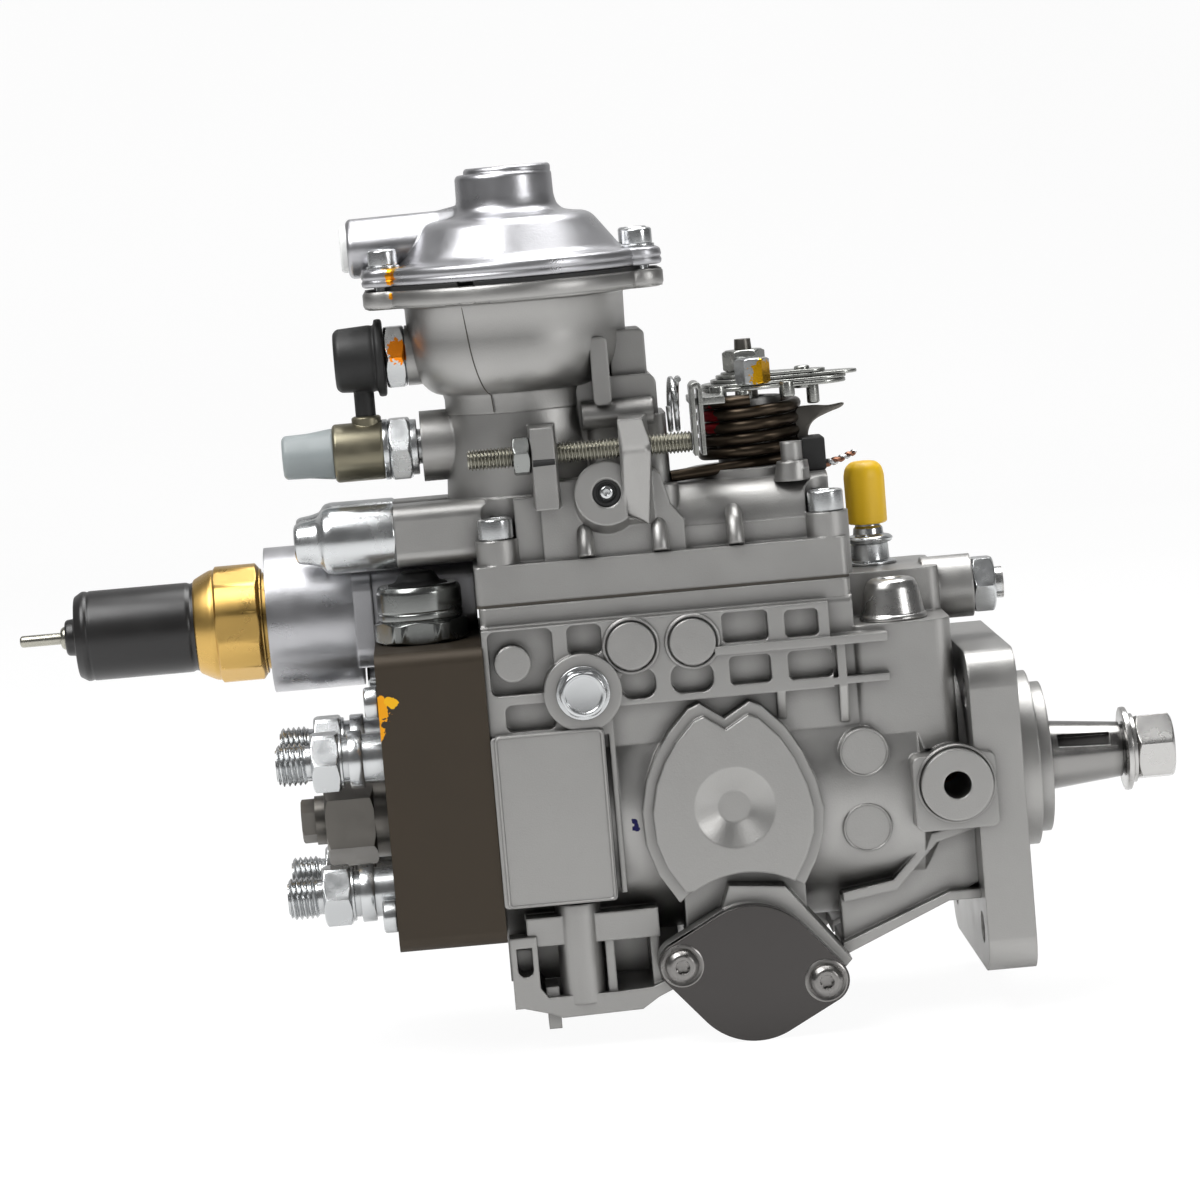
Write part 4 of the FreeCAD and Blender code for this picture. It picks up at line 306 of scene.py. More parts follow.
def piece(name, shells, body, material, replaces=(), angle=35.0):
    """One object from several closed shells, in metres, its faces pointing out, riding on a CAD body."""
    verts, faces, base = [], [], 0
    for points, polygons in shells:
        verts.append(points)
        faces += [[i + base for i in f] for f in polygons]
        base += len(points)
    mesh = bpy.data.meshes.new(name)
    mesh.from_pydata((np.concatenate(verts) * MM).tolist(), [], faces)
    work = bmesh.new()
    work.from_mesh(mesh)
    bmesh.ops.remove_doubles(work, verts=work.verts, dist=1e-6)
    bmesh.ops.dissolve_degenerate(work, edges=work.edges, dist=1e-7)
    bmesh.ops.recalc_face_normals(work, faces=work.faces)
    work.to_mesh(mesh)
    work.free()
    mesh.shade_smooth()
    mesh.set_sharp_from_angle(angle=np.radians(angle))
    obj = bpy.data.objects.new(name, mesh)
    bpy.context.scene.collection.objects.link(obj)
    mesh.materials.append(material)
    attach(obj, body)
    if replaces:
        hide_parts(*replaces)
    return obj


def recast(name, source, change, body, material):
    """A copy of a node's surface with its points moved by change(points), in mm, that stands for the node."""
    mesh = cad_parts[source].data.copy()
    mesh.name = name
    points = np.empty(len(mesh.vertices) * 3, dtype=np.float32)
    mesh.vertices.foreach_get("co", points)
    moved = change(points.reshape(-1, 3).astype(float) / MM) * MM
    mesh.vertices.foreach_set("co", moved.astype(np.float32).ravel())
    mesh.update()
    mesh.materials.clear()
    mesh.materials.append(material)
    obj = bpy.data.objects.new(name, mesh)
    bpy.context.scene.collection.objects.link(obj)
    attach(obj, body)
    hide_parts(source)
    return obj


def cover_shape(p):
    """Fits four forms of the governor cover. The rim's screw bosses: r is cut to the rim's outline less 0.35 mm, and
    their undersides rise to 144.2. The stop post: it gets 0.87 times its width, and its heights 97 and 104 become
    92.4 and 97.8. The plug's boss rises by 2.8 mm. The idle screw's tabs: the first one's foot rises, the second
    one's runs back behind the boss, and both get narrower."""
    out = p.copy()
    x, y, z = p.T
    dx, r = x - BOOST_X, np.hypot(x - BOOST_X, y)
    limit = rim_waist(0, np.arctan2(y, dx), np.full_like(r, RIM_R)) - 0.35
    scale = np.where((z > 140.5) & (r > limit), limit / np.maximum(r, 1), 1)
    out[:, 0], out[:, 1] = BOOST_X + dx * scale, y * scale
    out[:, 2] = np.where((np.abs(z - 141) < 0.1) & (r > 30), 144.2, z)
    ex, ey = x + 56, y + 22
    post = (np.hypot(ex, ey) < 5.3) & (z > 93)
    out[:, 0] = np.where(post, -55.6 + ex * 0.87, out[:, 0])
    out[:, 1] = np.where(post, -22 + ey * 0.87, out[:, 1])
    out[:, 2] = np.where(post, 92.4 + (z - 97) * 0.77, out[:, 2])
    near = y < -27
    boss = near & (y < -31.5) & (np.hypot(x + 108.4, z - 86) < 9.2)
    out[:, 2] = np.where(boss, z + 2.8, out[:, 2])
    foot = near & (np.abs(z - 79) < 0.1)
    out[:, 2] = np.where(foot & (x < -121), 85.8, out[:, 2])
    out[:, 1] = np.where(foot & (x > -103.2) & (y < -38.5), -32.7, out[:, 1])
    for x0, x1, left, right in ((-128.6, -121.1, 0.4, -0.8), (-103.0, -95.3, -1.0, -2.0)):
        ends = (y < -38.5) & (x > x0 - 0.1) & (x < x1 + 0.1)
        out[:, 0] = np.where(ends, x + np.interp(x, (x0, x1), (left, right)), out[:, 0])
    return out


def stub_shape(p):
    """Narrows the top of the throttle shaft to its threaded stub: above 120 mm its radius is 0.46 times as large."""
    out = p.copy()
    top = p[:, 2] > 120
    out[:, 0] = np.where(top, THROTTLE_X + (p[:, 0] - THROTTLE_X) * 0.46, p[:, 0])
    out[:, 1] = np.where(top, p[:, 1] * 0.46, p[:, 1])
    return out


def node(tree, kind, inputs=None, **settings):
    """Adds one node; settings are its own values, inputs are numbers or outputs to link."""
    new = tree.nodes.new(kind)
    for key, value in settings.items():
        setattr(new, key, value)
    for key, value in (inputs or {}).items():
        if isinstance(value, bpy.types.NodeSocket):
            tree.links.new(value, new.inputs[key])
        else:
            new.inputs[key].default_value = value
    return new


def per_metre(millimetres):
    """Noise scale whose features are about this many millimetres wide on Object coordinates in metres."""
    return 1000.0 / millimetres


def start_material(name):
    """An empty node material with its output and its Object coordinates."""
    material = bpy.data.materials.new(name)
    material.use_nodes = True
    tree = material.node_tree
    tree.nodes.clear()
    return material, tree, node(tree, "ShaderNodeTexCoord").outputs["Object"]


def surface(name, colour, metallic, roughness, grain_mm, grain_depth, mottle_mm=9.0, mottle=0.12, rough_spread=0.08,
            edge_mm=0.0, painted_shade=0.0, painted_shade_mm=3.0, stretch=(1, 1, 1), coat=0.0, extra=None):
    """A solid finish: base colour with a broad mottle, roughness that wanders, and a fine bump of the grain's size.
    edge_mm rounds sharp CAD edges in the shading; a corner-shade amount above zero paints shade into the colour where
    ambient occlusion finds corners and recesses, over a distance in mm."""
    material, tree, where = start_material(name)
    spread = node(tree, "ShaderNodeMapping", {"Vector": where, "Scale": stretch}).outputs[0]
    broad = node(tree, "ShaderNodeTexNoise", {"Vector": where, "Scale": per_metre(mottle_mm), "Detail": 4.0})
    fine = node(tree, "ShaderNodeTexNoise", {"Vector": spread, "Scale": per_metre(grain_mm), "Detail": 3.0,
                                             "Roughness": 0.6})
    dark = tuple(c * (1 - mottle) for c in colour[:3]) + (1,)
    light = tuple(min(1.0, c * (1 + mottle)) for c in colour[:3]) + (1,)
    shown = node(tree, "ShaderNodeMix", {0: broad.outputs["Fac"], 6: dark, 7: light}, data_type="RGBA").outputs[2]
    # Painted shade: the colour is multiplied darker where ambient occlusion finds corners and recesses.
    if painted_shade:
        shade = node(tree, "ShaderNodeAmbientOcclusion", {"Distance": painted_shade_mm * MM}, samples=6)
        deep = node(tree, "ShaderNodeMapRange", {"Value": shade.outputs["AO"], "From Min": 0.25, "From Max": 0.95,
                                                 "To Min": 1 - painted_shade, "To Max": 1.0})
        shown = node(tree, "ShaderNodeMix", {0: 1.0, 6: shown, 7: deep.outputs[0]}, data_type="RGBA",
                     blend_type="MULTIPLY").outputs[2]
    if extra:
        shown = extra(tree, where, shown)
    gloss = node(tree, "ShaderNodeMapRange", {"Value": broad.outputs["Fac"], "From Min": 0.3, "From Max": 0.7,
                                              "To Min": max(0.03, roughness - rough_spread),
                                              "To Max": min(1.0, roughness + rough_spread)})
    normal = {}
    if edge_mm:
        normal["Normal"] = node(tree, "ShaderNodeBevel", {"Radius": edge_mm * MM}, samples=4).outputs[0]
    bump = node(tree, "ShaderNodeBump", {"Height": fine.outputs["Fac"], "Strength": 1.0,
                                         "Distance": grain_depth * MM, **normal})
    shader = node(tree, "ShaderNodeBsdfPrincipled", {"Base Color": shown, "Metallic": metallic,
                                                     "Roughness": gloss.outputs[0], "Normal": bump.outputs[0],
                                                     "Coat Weight": coat})
    node(tree, "ShaderNodeOutputMaterial", {"Surface": shader.outputs[0]})
    return material


def paint_dabs(dabs):
    """Hand-dabbed paint: within a ragged radius of each place the colour turns to the paint's.
    The edge is the distance to the place plus noise, so the dab looks brushed on."""
    def add(tree, where, below):
        for x, y, z, reach, code in dabs:
            gap = node(tree, "ShaderNodeVectorMath", {0: where, 1: (x * MM, y * MM, z * MM)}, operation="DISTANCE")
            ragged = node(tree, "ShaderNodeTexNoise", {"Vector": where, "Scale": per_metre(1.3), "Detail": 5.0})
            wide = node(tree, "ShaderNodeMath", {0: ragged.outputs["Fac"], 1: reach * 1.6 * MM, 2: reach * 0.2 * MM},
                        operation="MULTIPLY_ADD")
            edge = node(tree, "ShaderNodeMath", {0: gap.outputs["Value"], 1: wide.outputs[0]}, operation="LESS_THAN")
            below = node(tree, "ShaderNodeMix", {0: edge.outputs[0], 6: below, 7: linear(code) + (1,)},
                         data_type="RGBA").outputs[2]
        return below
    return add


FINISHES = {}


def finish(name):
    """A finish made by the finishes operator."""
    return FINISHES[name]


def colour_prop(name, description, code):
    """A colour setting whose default is an sRGB hex value."""
    return FloatVectorProperty(name=name, description=description, subtype="COLOR", size=3, min=0, max=1,
                               default=linear(code))


class PumpStageSettings(bpy.types.PropertyGroup):
    """Floor and light."""
    floor: colour_prop("Floor", "Colour of the pale floor and backdrop", "#F4F4F4")
    key: FloatProperty(name="Key light", description="Power of the large light above the left shoulder",
                       default=16.0, min=0, unit="POWER")
    fill: FloatProperty(name="Fill light", description="Power of the light from the right front",
                        default=3.0, min=0, unit="POWER")
    sky: FloatProperty(name="Sky", description="Strength of the even light all round", default=0.13, min=0)


class PumpFinishSettings(bpy.types.PropertyGroup):
    """Colours of the finishes."""
    cast: colour_prop("Cast aluminium", "Bead-blasted die-cast aluminium of the housing", "#A6A5A3")
    smooth_cast: colour_prop("Tumbled aluminium", "Smoother casting of the boost compensator", "#B2B2B5")
    milled: colour_prop("Milled aluminium", "Freshly milled flange and pilot", "#D4D5D7")
    head: colour_prop("Treated head steel", "Olive brown chemical finish of the distributor head", "#3F372D")
    zinc: colour_prop("Zinc plate", "Bright zinc plate of screws and unions", "#C9CBCC")
    steel: colour_prop("Ground steel", "Ground and hardened steel", "#BDBCBA")
    plate: colour_prop("Rolled plate steel", "Dark bright-rolled steel of the timing cover", "#4B4948")
    brass: colour_prop("Brass", "Turned brass of the cold-start unit", "#C9A560")
    sleeve: colour_prop("Black sleeve", "Semi-gloss black sleeve of the heated element", "#1D1C1C")
    cap: colour_prop("Dust cap", "Soft yellow vinyl dust cap", "#F3C41C")
    spring: colour_prop("Spring wire", "Oil-tempered spring wire, dark bronze", "#40372D")
    rubber: colour_prop("Rubber", "Black moulded rubber", "#161616")
    grey: colour_prop("Grey cap", "Grey moulded plastic cap", "#8C9394")


class PumpSizeSettings(bpy.types.PropertyGroup):
    """Sizes of the small pieces, in metres."""
    thread_pitch: FloatProperty(name="Screw pitch", description="Pitch of the idle screw's thread",
                                default=1.0 * MM, min=0.0005, unit="LENGTH", precision=5)
    union_pitch: FloatProperty(name="Union pitch", description="Pitch of the outlet unions' thread",
                               default=1.5 * MM, min=0.0005, unit="LENGTH", precision=5)
    wire: FloatProperty(name="Spring wire", description="Radius of the return spring's wire",
                        default=1.7 * MM, min=0.0005, unit="LENGTH", precision=5)


def sizes():
    """The size settings of the open scene."""
    return bpy.context.scene.pump_sizes


class PUMP_OT_stage(bpy.types.Operator):
    """Pale floor that sweeps up into a backdrop, soft studio light and the camera"""
    bl_idname = "pump.stage"
    bl_label = "Stage"

    def execute(self, context):
        scene, settings = context.scene, context.scene.pump_stage
        low = CAD_BOX[0][2]
        # A floor that curves up behind: z = R (1 - cos t) and y = y0 + R sin t over the bend.
        t = np.linspace(0, np.pi / 2, 24)
        y = np.concatenate([[-3.0], 1.6 + 0.8 * np.sin(t), [2.4]])
        z = np.concatenate([[0.0], 0.8 * (1 - np.cos(t)), [3.5]]) + low
        x = np.array([-3.0, 3.0])
        p = np.stack(np.broadcast_arrays(x[None, :], y[:, None], z[:, None]), -1) / MM
        points, faces = grid(p, wrap_v=False)
        mesh = bpy.data.meshes.new("floor_sweep")
        mesh.from_pydata((points * MM).tolist(), [], [f[::-1] for f in faces])
        mesh.shade_smooth()
        floor = bpy.data.objects.new("floor_sweep", mesh)
        scene.collection.objects.link(floor)
        material, tree, where = start_material("painted_studio_floor")
        plain = tuple(settings.floor) + (1,)
        grain = node(tree, "ShaderNodeTexNoise", {"Vector": where, "Scale": 3.0, "Detail": 2.0})
        paint = node(tree, "ShaderNodeBsdfPrincipled", {"Base Color": plain, "Roughness": 0.7})
        tint = node(tree, "ShaderNodeMapRange", {"Value": grain.outputs["Fac"], "To Min": 1.03, "To Max": 1.06})
        glow = node(tree, "ShaderNodeEmission", {"Color": (1, 1, 1, 1), "Strength": tint.outputs[0]})
        # The camera sees the floor nearly white; reflections see a little of that white.
        rays = node(tree, "ShaderNodeLightPath")
        seen = node(tree, "ShaderNodeMath", {0: rays.outputs["Is Camera Ray"], 1: 0.9}, operation="MULTIPLY")
        glossy = node(tree, "ShaderNodeMath", {0: rays.outputs["Is Glossy Ray"], 1: 0.3}, operation="MULTIPLY")
        share = node(tree, "ShaderNodeMath", {0: seen.outputs[0], 1: glossy.outputs[0]}, operation="MAXIMUM")
        mix = node(tree, "ShaderNodeMixShader", {0: share.outputs[0], 1: paint.outputs[0], 2: glow.outputs[0]})
        node(tree, "ShaderNodeOutputMaterial", {"Surface": mix.outputs[0]})
        mesh.materials.append(material)

        world = bpy.data.worlds.new("studio")
        scene.world = world
        world.use_nodes = True
        tree = world.node_tree
        tree.nodes.clear()
        rays = node(tree, "ShaderNodeLightPath")
        seen = node(tree, "ShaderNodeMath", {0: rays.outputs["Is Camera Ray"], 1: rays.outputs["Is Transmission Ray"]},
                    operation="MAXIMUM")
        level = node(tree, "ShaderNodeMapRange", {"Value": seen.outputs[0], "To Min": settings.sky, "To Max": 1.0})
        sky = node(tree, "ShaderNodeBackground", {"Color": (1, 1, 1, 1), "Strength": level.outputs[0]})
        node(tree, "ShaderNodeOutputWorld", {"Surface": sky.outputs[0]})

        middle = Vector((-0.11, 0, 0.06))
        for name, power, size, place in (("key", settings.key, 0.9, (-0.65, -0.42, 1.1)),
                                         ("fill", settings.fill, 0.4, (0.8, -0.9, 0.35)),
                                         ("top", settings.key * 0.7, 0.8, (0.1, 0.25, 1.1))):
            lamp = bpy.data.lights.new(name, "AREA")
            lamp.shape, lamp.size, lamp.energy = "DISK", size, power
            holder = bpy.data.objects.new(name, lamp)
            holder.location = place
            ray = middle - holder.location
            holder.rotation_euler = ray.to_track_quat("-Z", "Y").to_euler()
            scene.collection.objects.link(holder)

        # The photograph's view: the camera looks slightly down and is rolled.
        spot, target = Vector((-0.145465, -1.283182, 0.184011)), Vector((-0.111863, 0, 0.055889))
        ahead = (target - spot).normalized()
        right = ahead.cross(Vector((0, 0, 1))).normalized()
        up = right.cross(ahead)
        roll = np.radians(4.9)
        c, s = np.cos(roll), np.sin(roll)
        right, up = right * c - up * s, right * s + up * c
        camera = bpy.data.cameras.new("photo_view")
        camera.lens, camera.sensor_width, camera.sensor_fit = 135.84, 36.0, "HORIZONTAL"
        camera.clip_end = 20
        holder = bpy.data.objects.new("photo_view", camera)
        holder.matrix_world = Matrix((right, up, -ahead)).transposed().to_4x4()
        holder.matrix_world.translation = spot
        scene.collection.objects.link(holder)
        scene.camera = holder
        scene.view_settings.view_transform = "Standard"
        return {"FINISHED"}


class PUMP_OT_finishes(bpy.types.Operator):
    """Makes every finish and puts it on the CAD nodes"""
    bl_idname = "pump.finishes"
    bl_label = "Finishes"

    def execute(self, context):
        c = context.scene.pump_finishes
        # Each finish with a corner-shade amount gets painted shade: its colour darkens in corners and recesses by
        # ambient occlusion.
        make = {
            # Bead-blasted die-cast aluminium: even satin grey, fine sparkle, with painted shade darkening the corners.
            "cast": surface("blasted_cast_aluminium", c.cast, 0.95, 0.4, 0.5, 0.05, 14, 0.08, 0.06, edge_mm=0.9,
                            painted_shade=0.55, painted_shade_mm=5.0,
                            extra=paint_dabs([(-108.6, -38.0, -2.4, 1.3, "#23224A"),
                                              (-108.2, -38.0, -4.2, 1.3, "#23224A"),
                                              (-59.0, -37.0, -30.9, 1.3, "#2B2A55"),
                                              (-163.0, -19.4, 147.5, 0.9, "#E9961F"),
                                              (-44.0, 20.0, 57.0, 2.5, "#D9DE3A")])),
            # Tumbled die-cast aluminium: brighter and slicker than the housing, with soft long highlights.
            "smooth_cast": surface("tumbled_cast_aluminium", c.smooth_cast, 0.95, 0.32, 0.6, 0.03, 12, 0.06, 0.07,
                                   edge_mm=0.8, painted_shade=0.4,
                                   extra=paint_dabs([(-161.8, -17.5, 155.4, 3.2, "#F0B429"),
                                                     (-162.6, -19.4, 152.4, 1.9, "#E9961F"),
                                                     (-160.2, -14.0, 157.0, 1.8, "#EE8A20")])),
            # Milled aluminium: fine tool lines.
            "milled": surface("milled_aluminium", c.milled, 0.95, 0.3, 0.35, 0.02, 10, 0.05, 0.05, stretch=(1, 1, 4),
                              edge_mm=0.3),
            # Chemically treated steel: oily olive brown with faint rolling streaks.
            "head": surface("treated_head_steel", c.head, 0.55, 0.5, 0.4, 0.02, 18, 0.12, 0.08, stretch=(4, 1, 1),
                            edge_mm=0.5, painted_shade=0.3,
                            extra=paint_dabs([(-176.5, -42.0, 35.5, 3.4, "#F2A516"),
                                              (-172.8, -42.0, 37.0, 1.8, "#F5B91C"),
                                              (-178.0, -42.0, 28.5, 2.6, "#F2A516")])),
            # Bright zinc plate: mirror-like with a slight haze.
            "zinc": surface("zinc_plated_steel", c.zinc, 0.95, 0.24, 0.5, 0.012, 6, 0.08, 0.07, edge_mm=0.15,
                            painted_shade=0.3, painted_shade_mm=1.5),
            # Zinc with a yellow chromate tinge, on the adjusting screws.
            "chromate": surface("chromated_zinc", linear("#A8A69B"), 0.95, 0.28, 0.5, 0.012, 5, 0.12, 0.06,
                                edge_mm=0.15, painted_shade=0.4, painted_shade_mm=1.0),
            # Ground steel: bright, with fine lines round the axis.
            "steel": surface("ground_steel", c.steel, 1.0, 0.27, 0.3, 0.01, 9, 0.06, 0.06, stretch=(6, 1, 1),
                             edge_mm=0.2),
            # Bright-rolled plate: dark reflections with faint scratches one way.
            "plate": surface("rolled_plate_steel", c.plate, 1.0, 0.2, 0.25, 0.01, 14, 0.1, 0.05, stretch=(1, 1, 8),
                             edge_mm=0.6),
            # Hardened ground shaft: darker, with strong light and dark bands, and painted shade that darkens the
            # keyway.
            "shaft_steel": surface("ground_shaft_steel", linear("#908F8D"), 1.0, 0.22, 0.3, 0.01, 9, 0.06, 0.05,
                                   stretch=(6, 1, 1), edge_mm=0.3, painted_shade=0.8, painted_shade_mm=4.0),
            # Stamped sheet, zinc plated: uneven, with painted shade in its corners.
            "bright_plate": surface("zinc_plated_sheet", linear("#A9AAA6"), 0.95, 0.26, 0.4, 0.012, 5, 0.12, 0.08,
                                    edge_mm=0.2, painted_shade=0.4, painted_shade_mm=1.5),
            # Zinc plate with inspection paint brushed over a corner.
            "painted_zinc": surface("zinc_with_yellow_paint", c.zinc, 0.95, 0.24, 0.5, 0.012, 6, 0.08, 0.07,
                                    edge_mm=0.15, extra=paint_dabs([(-60.4, -14.5, 116.5, 4.6, "#F0B41C"),
                                                                    (-162.6, -8.5, 132.0, 3.4, "#EE8A20"),
                                                                    (-164.5, -16.5, 157.0, 3.6, "#F4B51E")])),
            # Drawn can and lock nut: smooth zinc with dark reflections.
            "dark_zinc": surface("dark_zinc_can", linear("#8B8D8B"), 1.0, 0.24, 0.5, 0.012, 6, 0.1, 0.06, edge_mm=0.3,
                                 painted_shade=0.3, painted_shade_mm=1.5),
            # Screw heads with the plate worn by the driver.
            "worn_steel": surface("worn_screw_steel", linear("#8A8886"), 1.0, 0.32, 0.4, 0.015, 3, 0.15, 0.08,
                                  edge_mm=0.1),
            # Drawn copper wire gone dull.
            "copper": surface("copper_wire", linear("#8E6552"), 1.0, 0.35, 0.3, 0.02, 3, 0.15, 0.06),
            # Moulded polyethylene, milky and soft in its gloss.
            "clear_plug": surface("milky_plastic_plug", linear("#E4E5E4"), 0.0, 0.4, 0.8, 0.01, 9, 0.03, 0.05),
            # Oil-blackened steel: dark, with a thin film of oil.
            "dark_plate": surface("blackened_plate_steel", linear("#6E6B66"), 0.9, 0.36, 0.4, 0.015, 6, 0.15, 0.08,
                                  edge_mm=0.25, painted_shade=0.4, coat=0.1),
            # Turned brass: warm, with tool lines round the axis.
            "brass": surface("turned_brass", c.brass, 1.0, 0.3, 0.3, 0.012, 8, 0.08, 0.06, stretch=(8, 1, 1),
                             edge_mm=0.3, painted_shade=0.3),
            # Black coating, half glossy.
            "sleeve": surface("black_coated_sleeve", c.sleeve, 0.0, 0.34, 0.6, 0.012, 10, 0.1, 0.05, edge_mm=0.4),
            # Soft vinyl: even yellow, waxy gloss.
            "cap": surface("soft_vinyl_cap", c.cap, 0.0, 0.42, 1.2, 0.02, 8, 0.05, 0.05, edge_mm=0.4),
            # Oil-tempered wire: dark bronze, with a red paint mark on one coil.
            "spring": surface("oil_tempered_wire", c.spring, 0.9, 0.34, 0.5, 0.01, 5, 0.15, 0.06,
                              extra=paint_dabs([(-77.0, -8.5, 104.5, 3.4, "#8E1B22")])),
            # Moulded rubber: black and dull.
            "rubber": surface("moulded_rubber", c.rubber, 0.0, 0.55, 0.5, 0.03, 6, 0.15, 0.08, edge_mm=0.5),
            # Moulded plastic cap, soft in its gloss.
            "grey": surface("grey_moulded_cap", c.grey, 0.0, 0.4, 0.8, 0.015, 9, 0.08, 0.05, edge_mm=0.4),
            # Olive-passivated steel: greenish brown over zinc.
            "olive": surface("olive_passivated_union", linear("#7F7A68"), 0.85, 0.36, 0.5, 0.015, 8, 0.14, 0.08,
                             edge_mm=0.3, painted_shade=0.3),
            # Sintered bronze: fine open pores.
            "bronze": surface("sintered_bronze", linear("#A9804F"), 0.9, 0.42, 0.3, 0.03, 5, 0.1, 0.06),
            # Pressed fibre: dark and dull.
            "gasket": surface("pressed_fibre_gasket", linear("#4A4640"), 0.0, 0.8, 0.4, 0.05, 3, 0.1, 0.05),
        }
        FINISHES.update(make)
        by_finish = {
            "cast": ("pump_housing", "governor_cover"), "smooth_cast": ("boost_cap", "cold_start_housing"),
            "head": ("distributor_head",), "gasket": ("seals",), "rubber": ("diaphragm", "elbow_fitting"),
            "bronze": ("shaft_bush",), "plate": ("timing_covers",), "brass": ("cold_start_element",),
            "cap": ("inlet_dust_cap",), "spring": ("return_spring", "governor_spring", "plunger_springs",
                                                   "timing_spring", "boost_spring", "valve_springs"),
            "bright_plate": ("throttle_lever", "lever_bracket"), "chromate": ("adjusting_screws",),
            "dark_plate": ("centre_plug",), "shaft_steel": ("drive_shaft",),
            "zinc": ("valve_holders", "screw_set", "solenoid_body", "hose_fittings",
                     "pressure_valve_body", "shaft_nut"),
        }
        placed_on = {n: key for key, names in by_finish.items() for n in names}
        for name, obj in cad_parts.items():
            obj.data.materials.clear()
            obj.data.materials.append(make[placed_on.get(name, "steel")])
        return {"FINISHED"}


class PUMP_OT_outlets(bpy.types.Operator):
    """Four delivery-valve holders: chamfered hexagon, union thread, sealing cone"""
    bl_idname = "pump.outlets"
    bl_label = "Outlets"

    def execute(self, context):
        shells = []
        pitch = sizes().union_pitch / MM
        for y in (-OUTLET_OFFSET, OUTLET_OFFSET):
            for z in (-OUTLET_OFFSET, OUTLET_OFFSET):
                at = (0, y, z)
                shells += [hexagon(-197, -189, 16, at, "x", bore=4.2, chamfer=0.55),
                           turned([(-189.2, 4.2), (-189.2, 7.5), (-188.9, 7.6), (-188.4, 7.6), (-188.2, 7.4),
                                   (-188.2, 6.6), (-186.5, 6.6), (-186.5, 8.0), (-186.2, 8.2), (-182.8, 8.2),
                                   (-182.5, 8.0), (-182.5, 7.0), (-176.2, 7.0), (-176.2, 4.2)], at, "x", ring=True),
                           threaded(-206.6, -198.6, 6.0, pitch, at, "x", chamfer=0.8, bore=4.0),
                           turned([(-199.4, 4.0), (-199.4, 5.0), (-196.9, 5.0), (-196.9, 0), (-197.4, 0),
                                   (-203.0, 1.5), (-207, 4.1), (-207, 4.4), (-206.3, 4.4)], at, "x")]
        piece("valve_holder_bodies", shells, "housing", finish("zinc"), ("valve_holders",))
        return {"FINISHED"}


class PUMP_OT_adjusters(bpy.types.Operator):
    """Idle screw with its thread and lock nut, and the two capped screws at the rear"""
    bl_idname = "pump.adjusters"
    bl_label = "Adjusting screws"

    def execute(self, context):
        pitch = sizes().thread_pitch / MM
        piece("idle_lock_nut", [hexagon(-133.4, -128.7, 10.0, IDLE_SCREW, "x", chamfer=0.55, turn=10)], "housing",
              finish("dark_zinc"))
        threads = [threaded(-146, -83.6, 3.0, pitch, IDLE_SCREW, "x", depth=0.62, chamfer=0.7)]
        threads += [threaded(-195.7, -140, 3.0, pitch, at, "x", depth=0.55, chamfer=0.6) for at in CAPPED_SCREWS]
        piece("adjusting_screw_threads", threads, "housing", finish("chromate"), ("adjusting_screws",))
        cap = [(0, 3.05), (0, 8.7), (0.7, 9.3), (18.6, 9.4), (20.4, 8.9), (21.3, 7.6), (22.0, 6.9), (24.0, 6.3),
               (27.6, 5.8), (28.4, 5.3), (28.8, 4.2), (28.8, 2.6), (28.0, 2.4), (28.0, 0)]
        cap_x = -167.6
        caps = [turned(cap, (cap_x, y, z), "-x", corner=0.7) for _, y, z in CAPPED_SCREWS]
        piece("adjusting_screw_caps", caps, "housing", finish("zinc"))
        return {"FINISHED"}


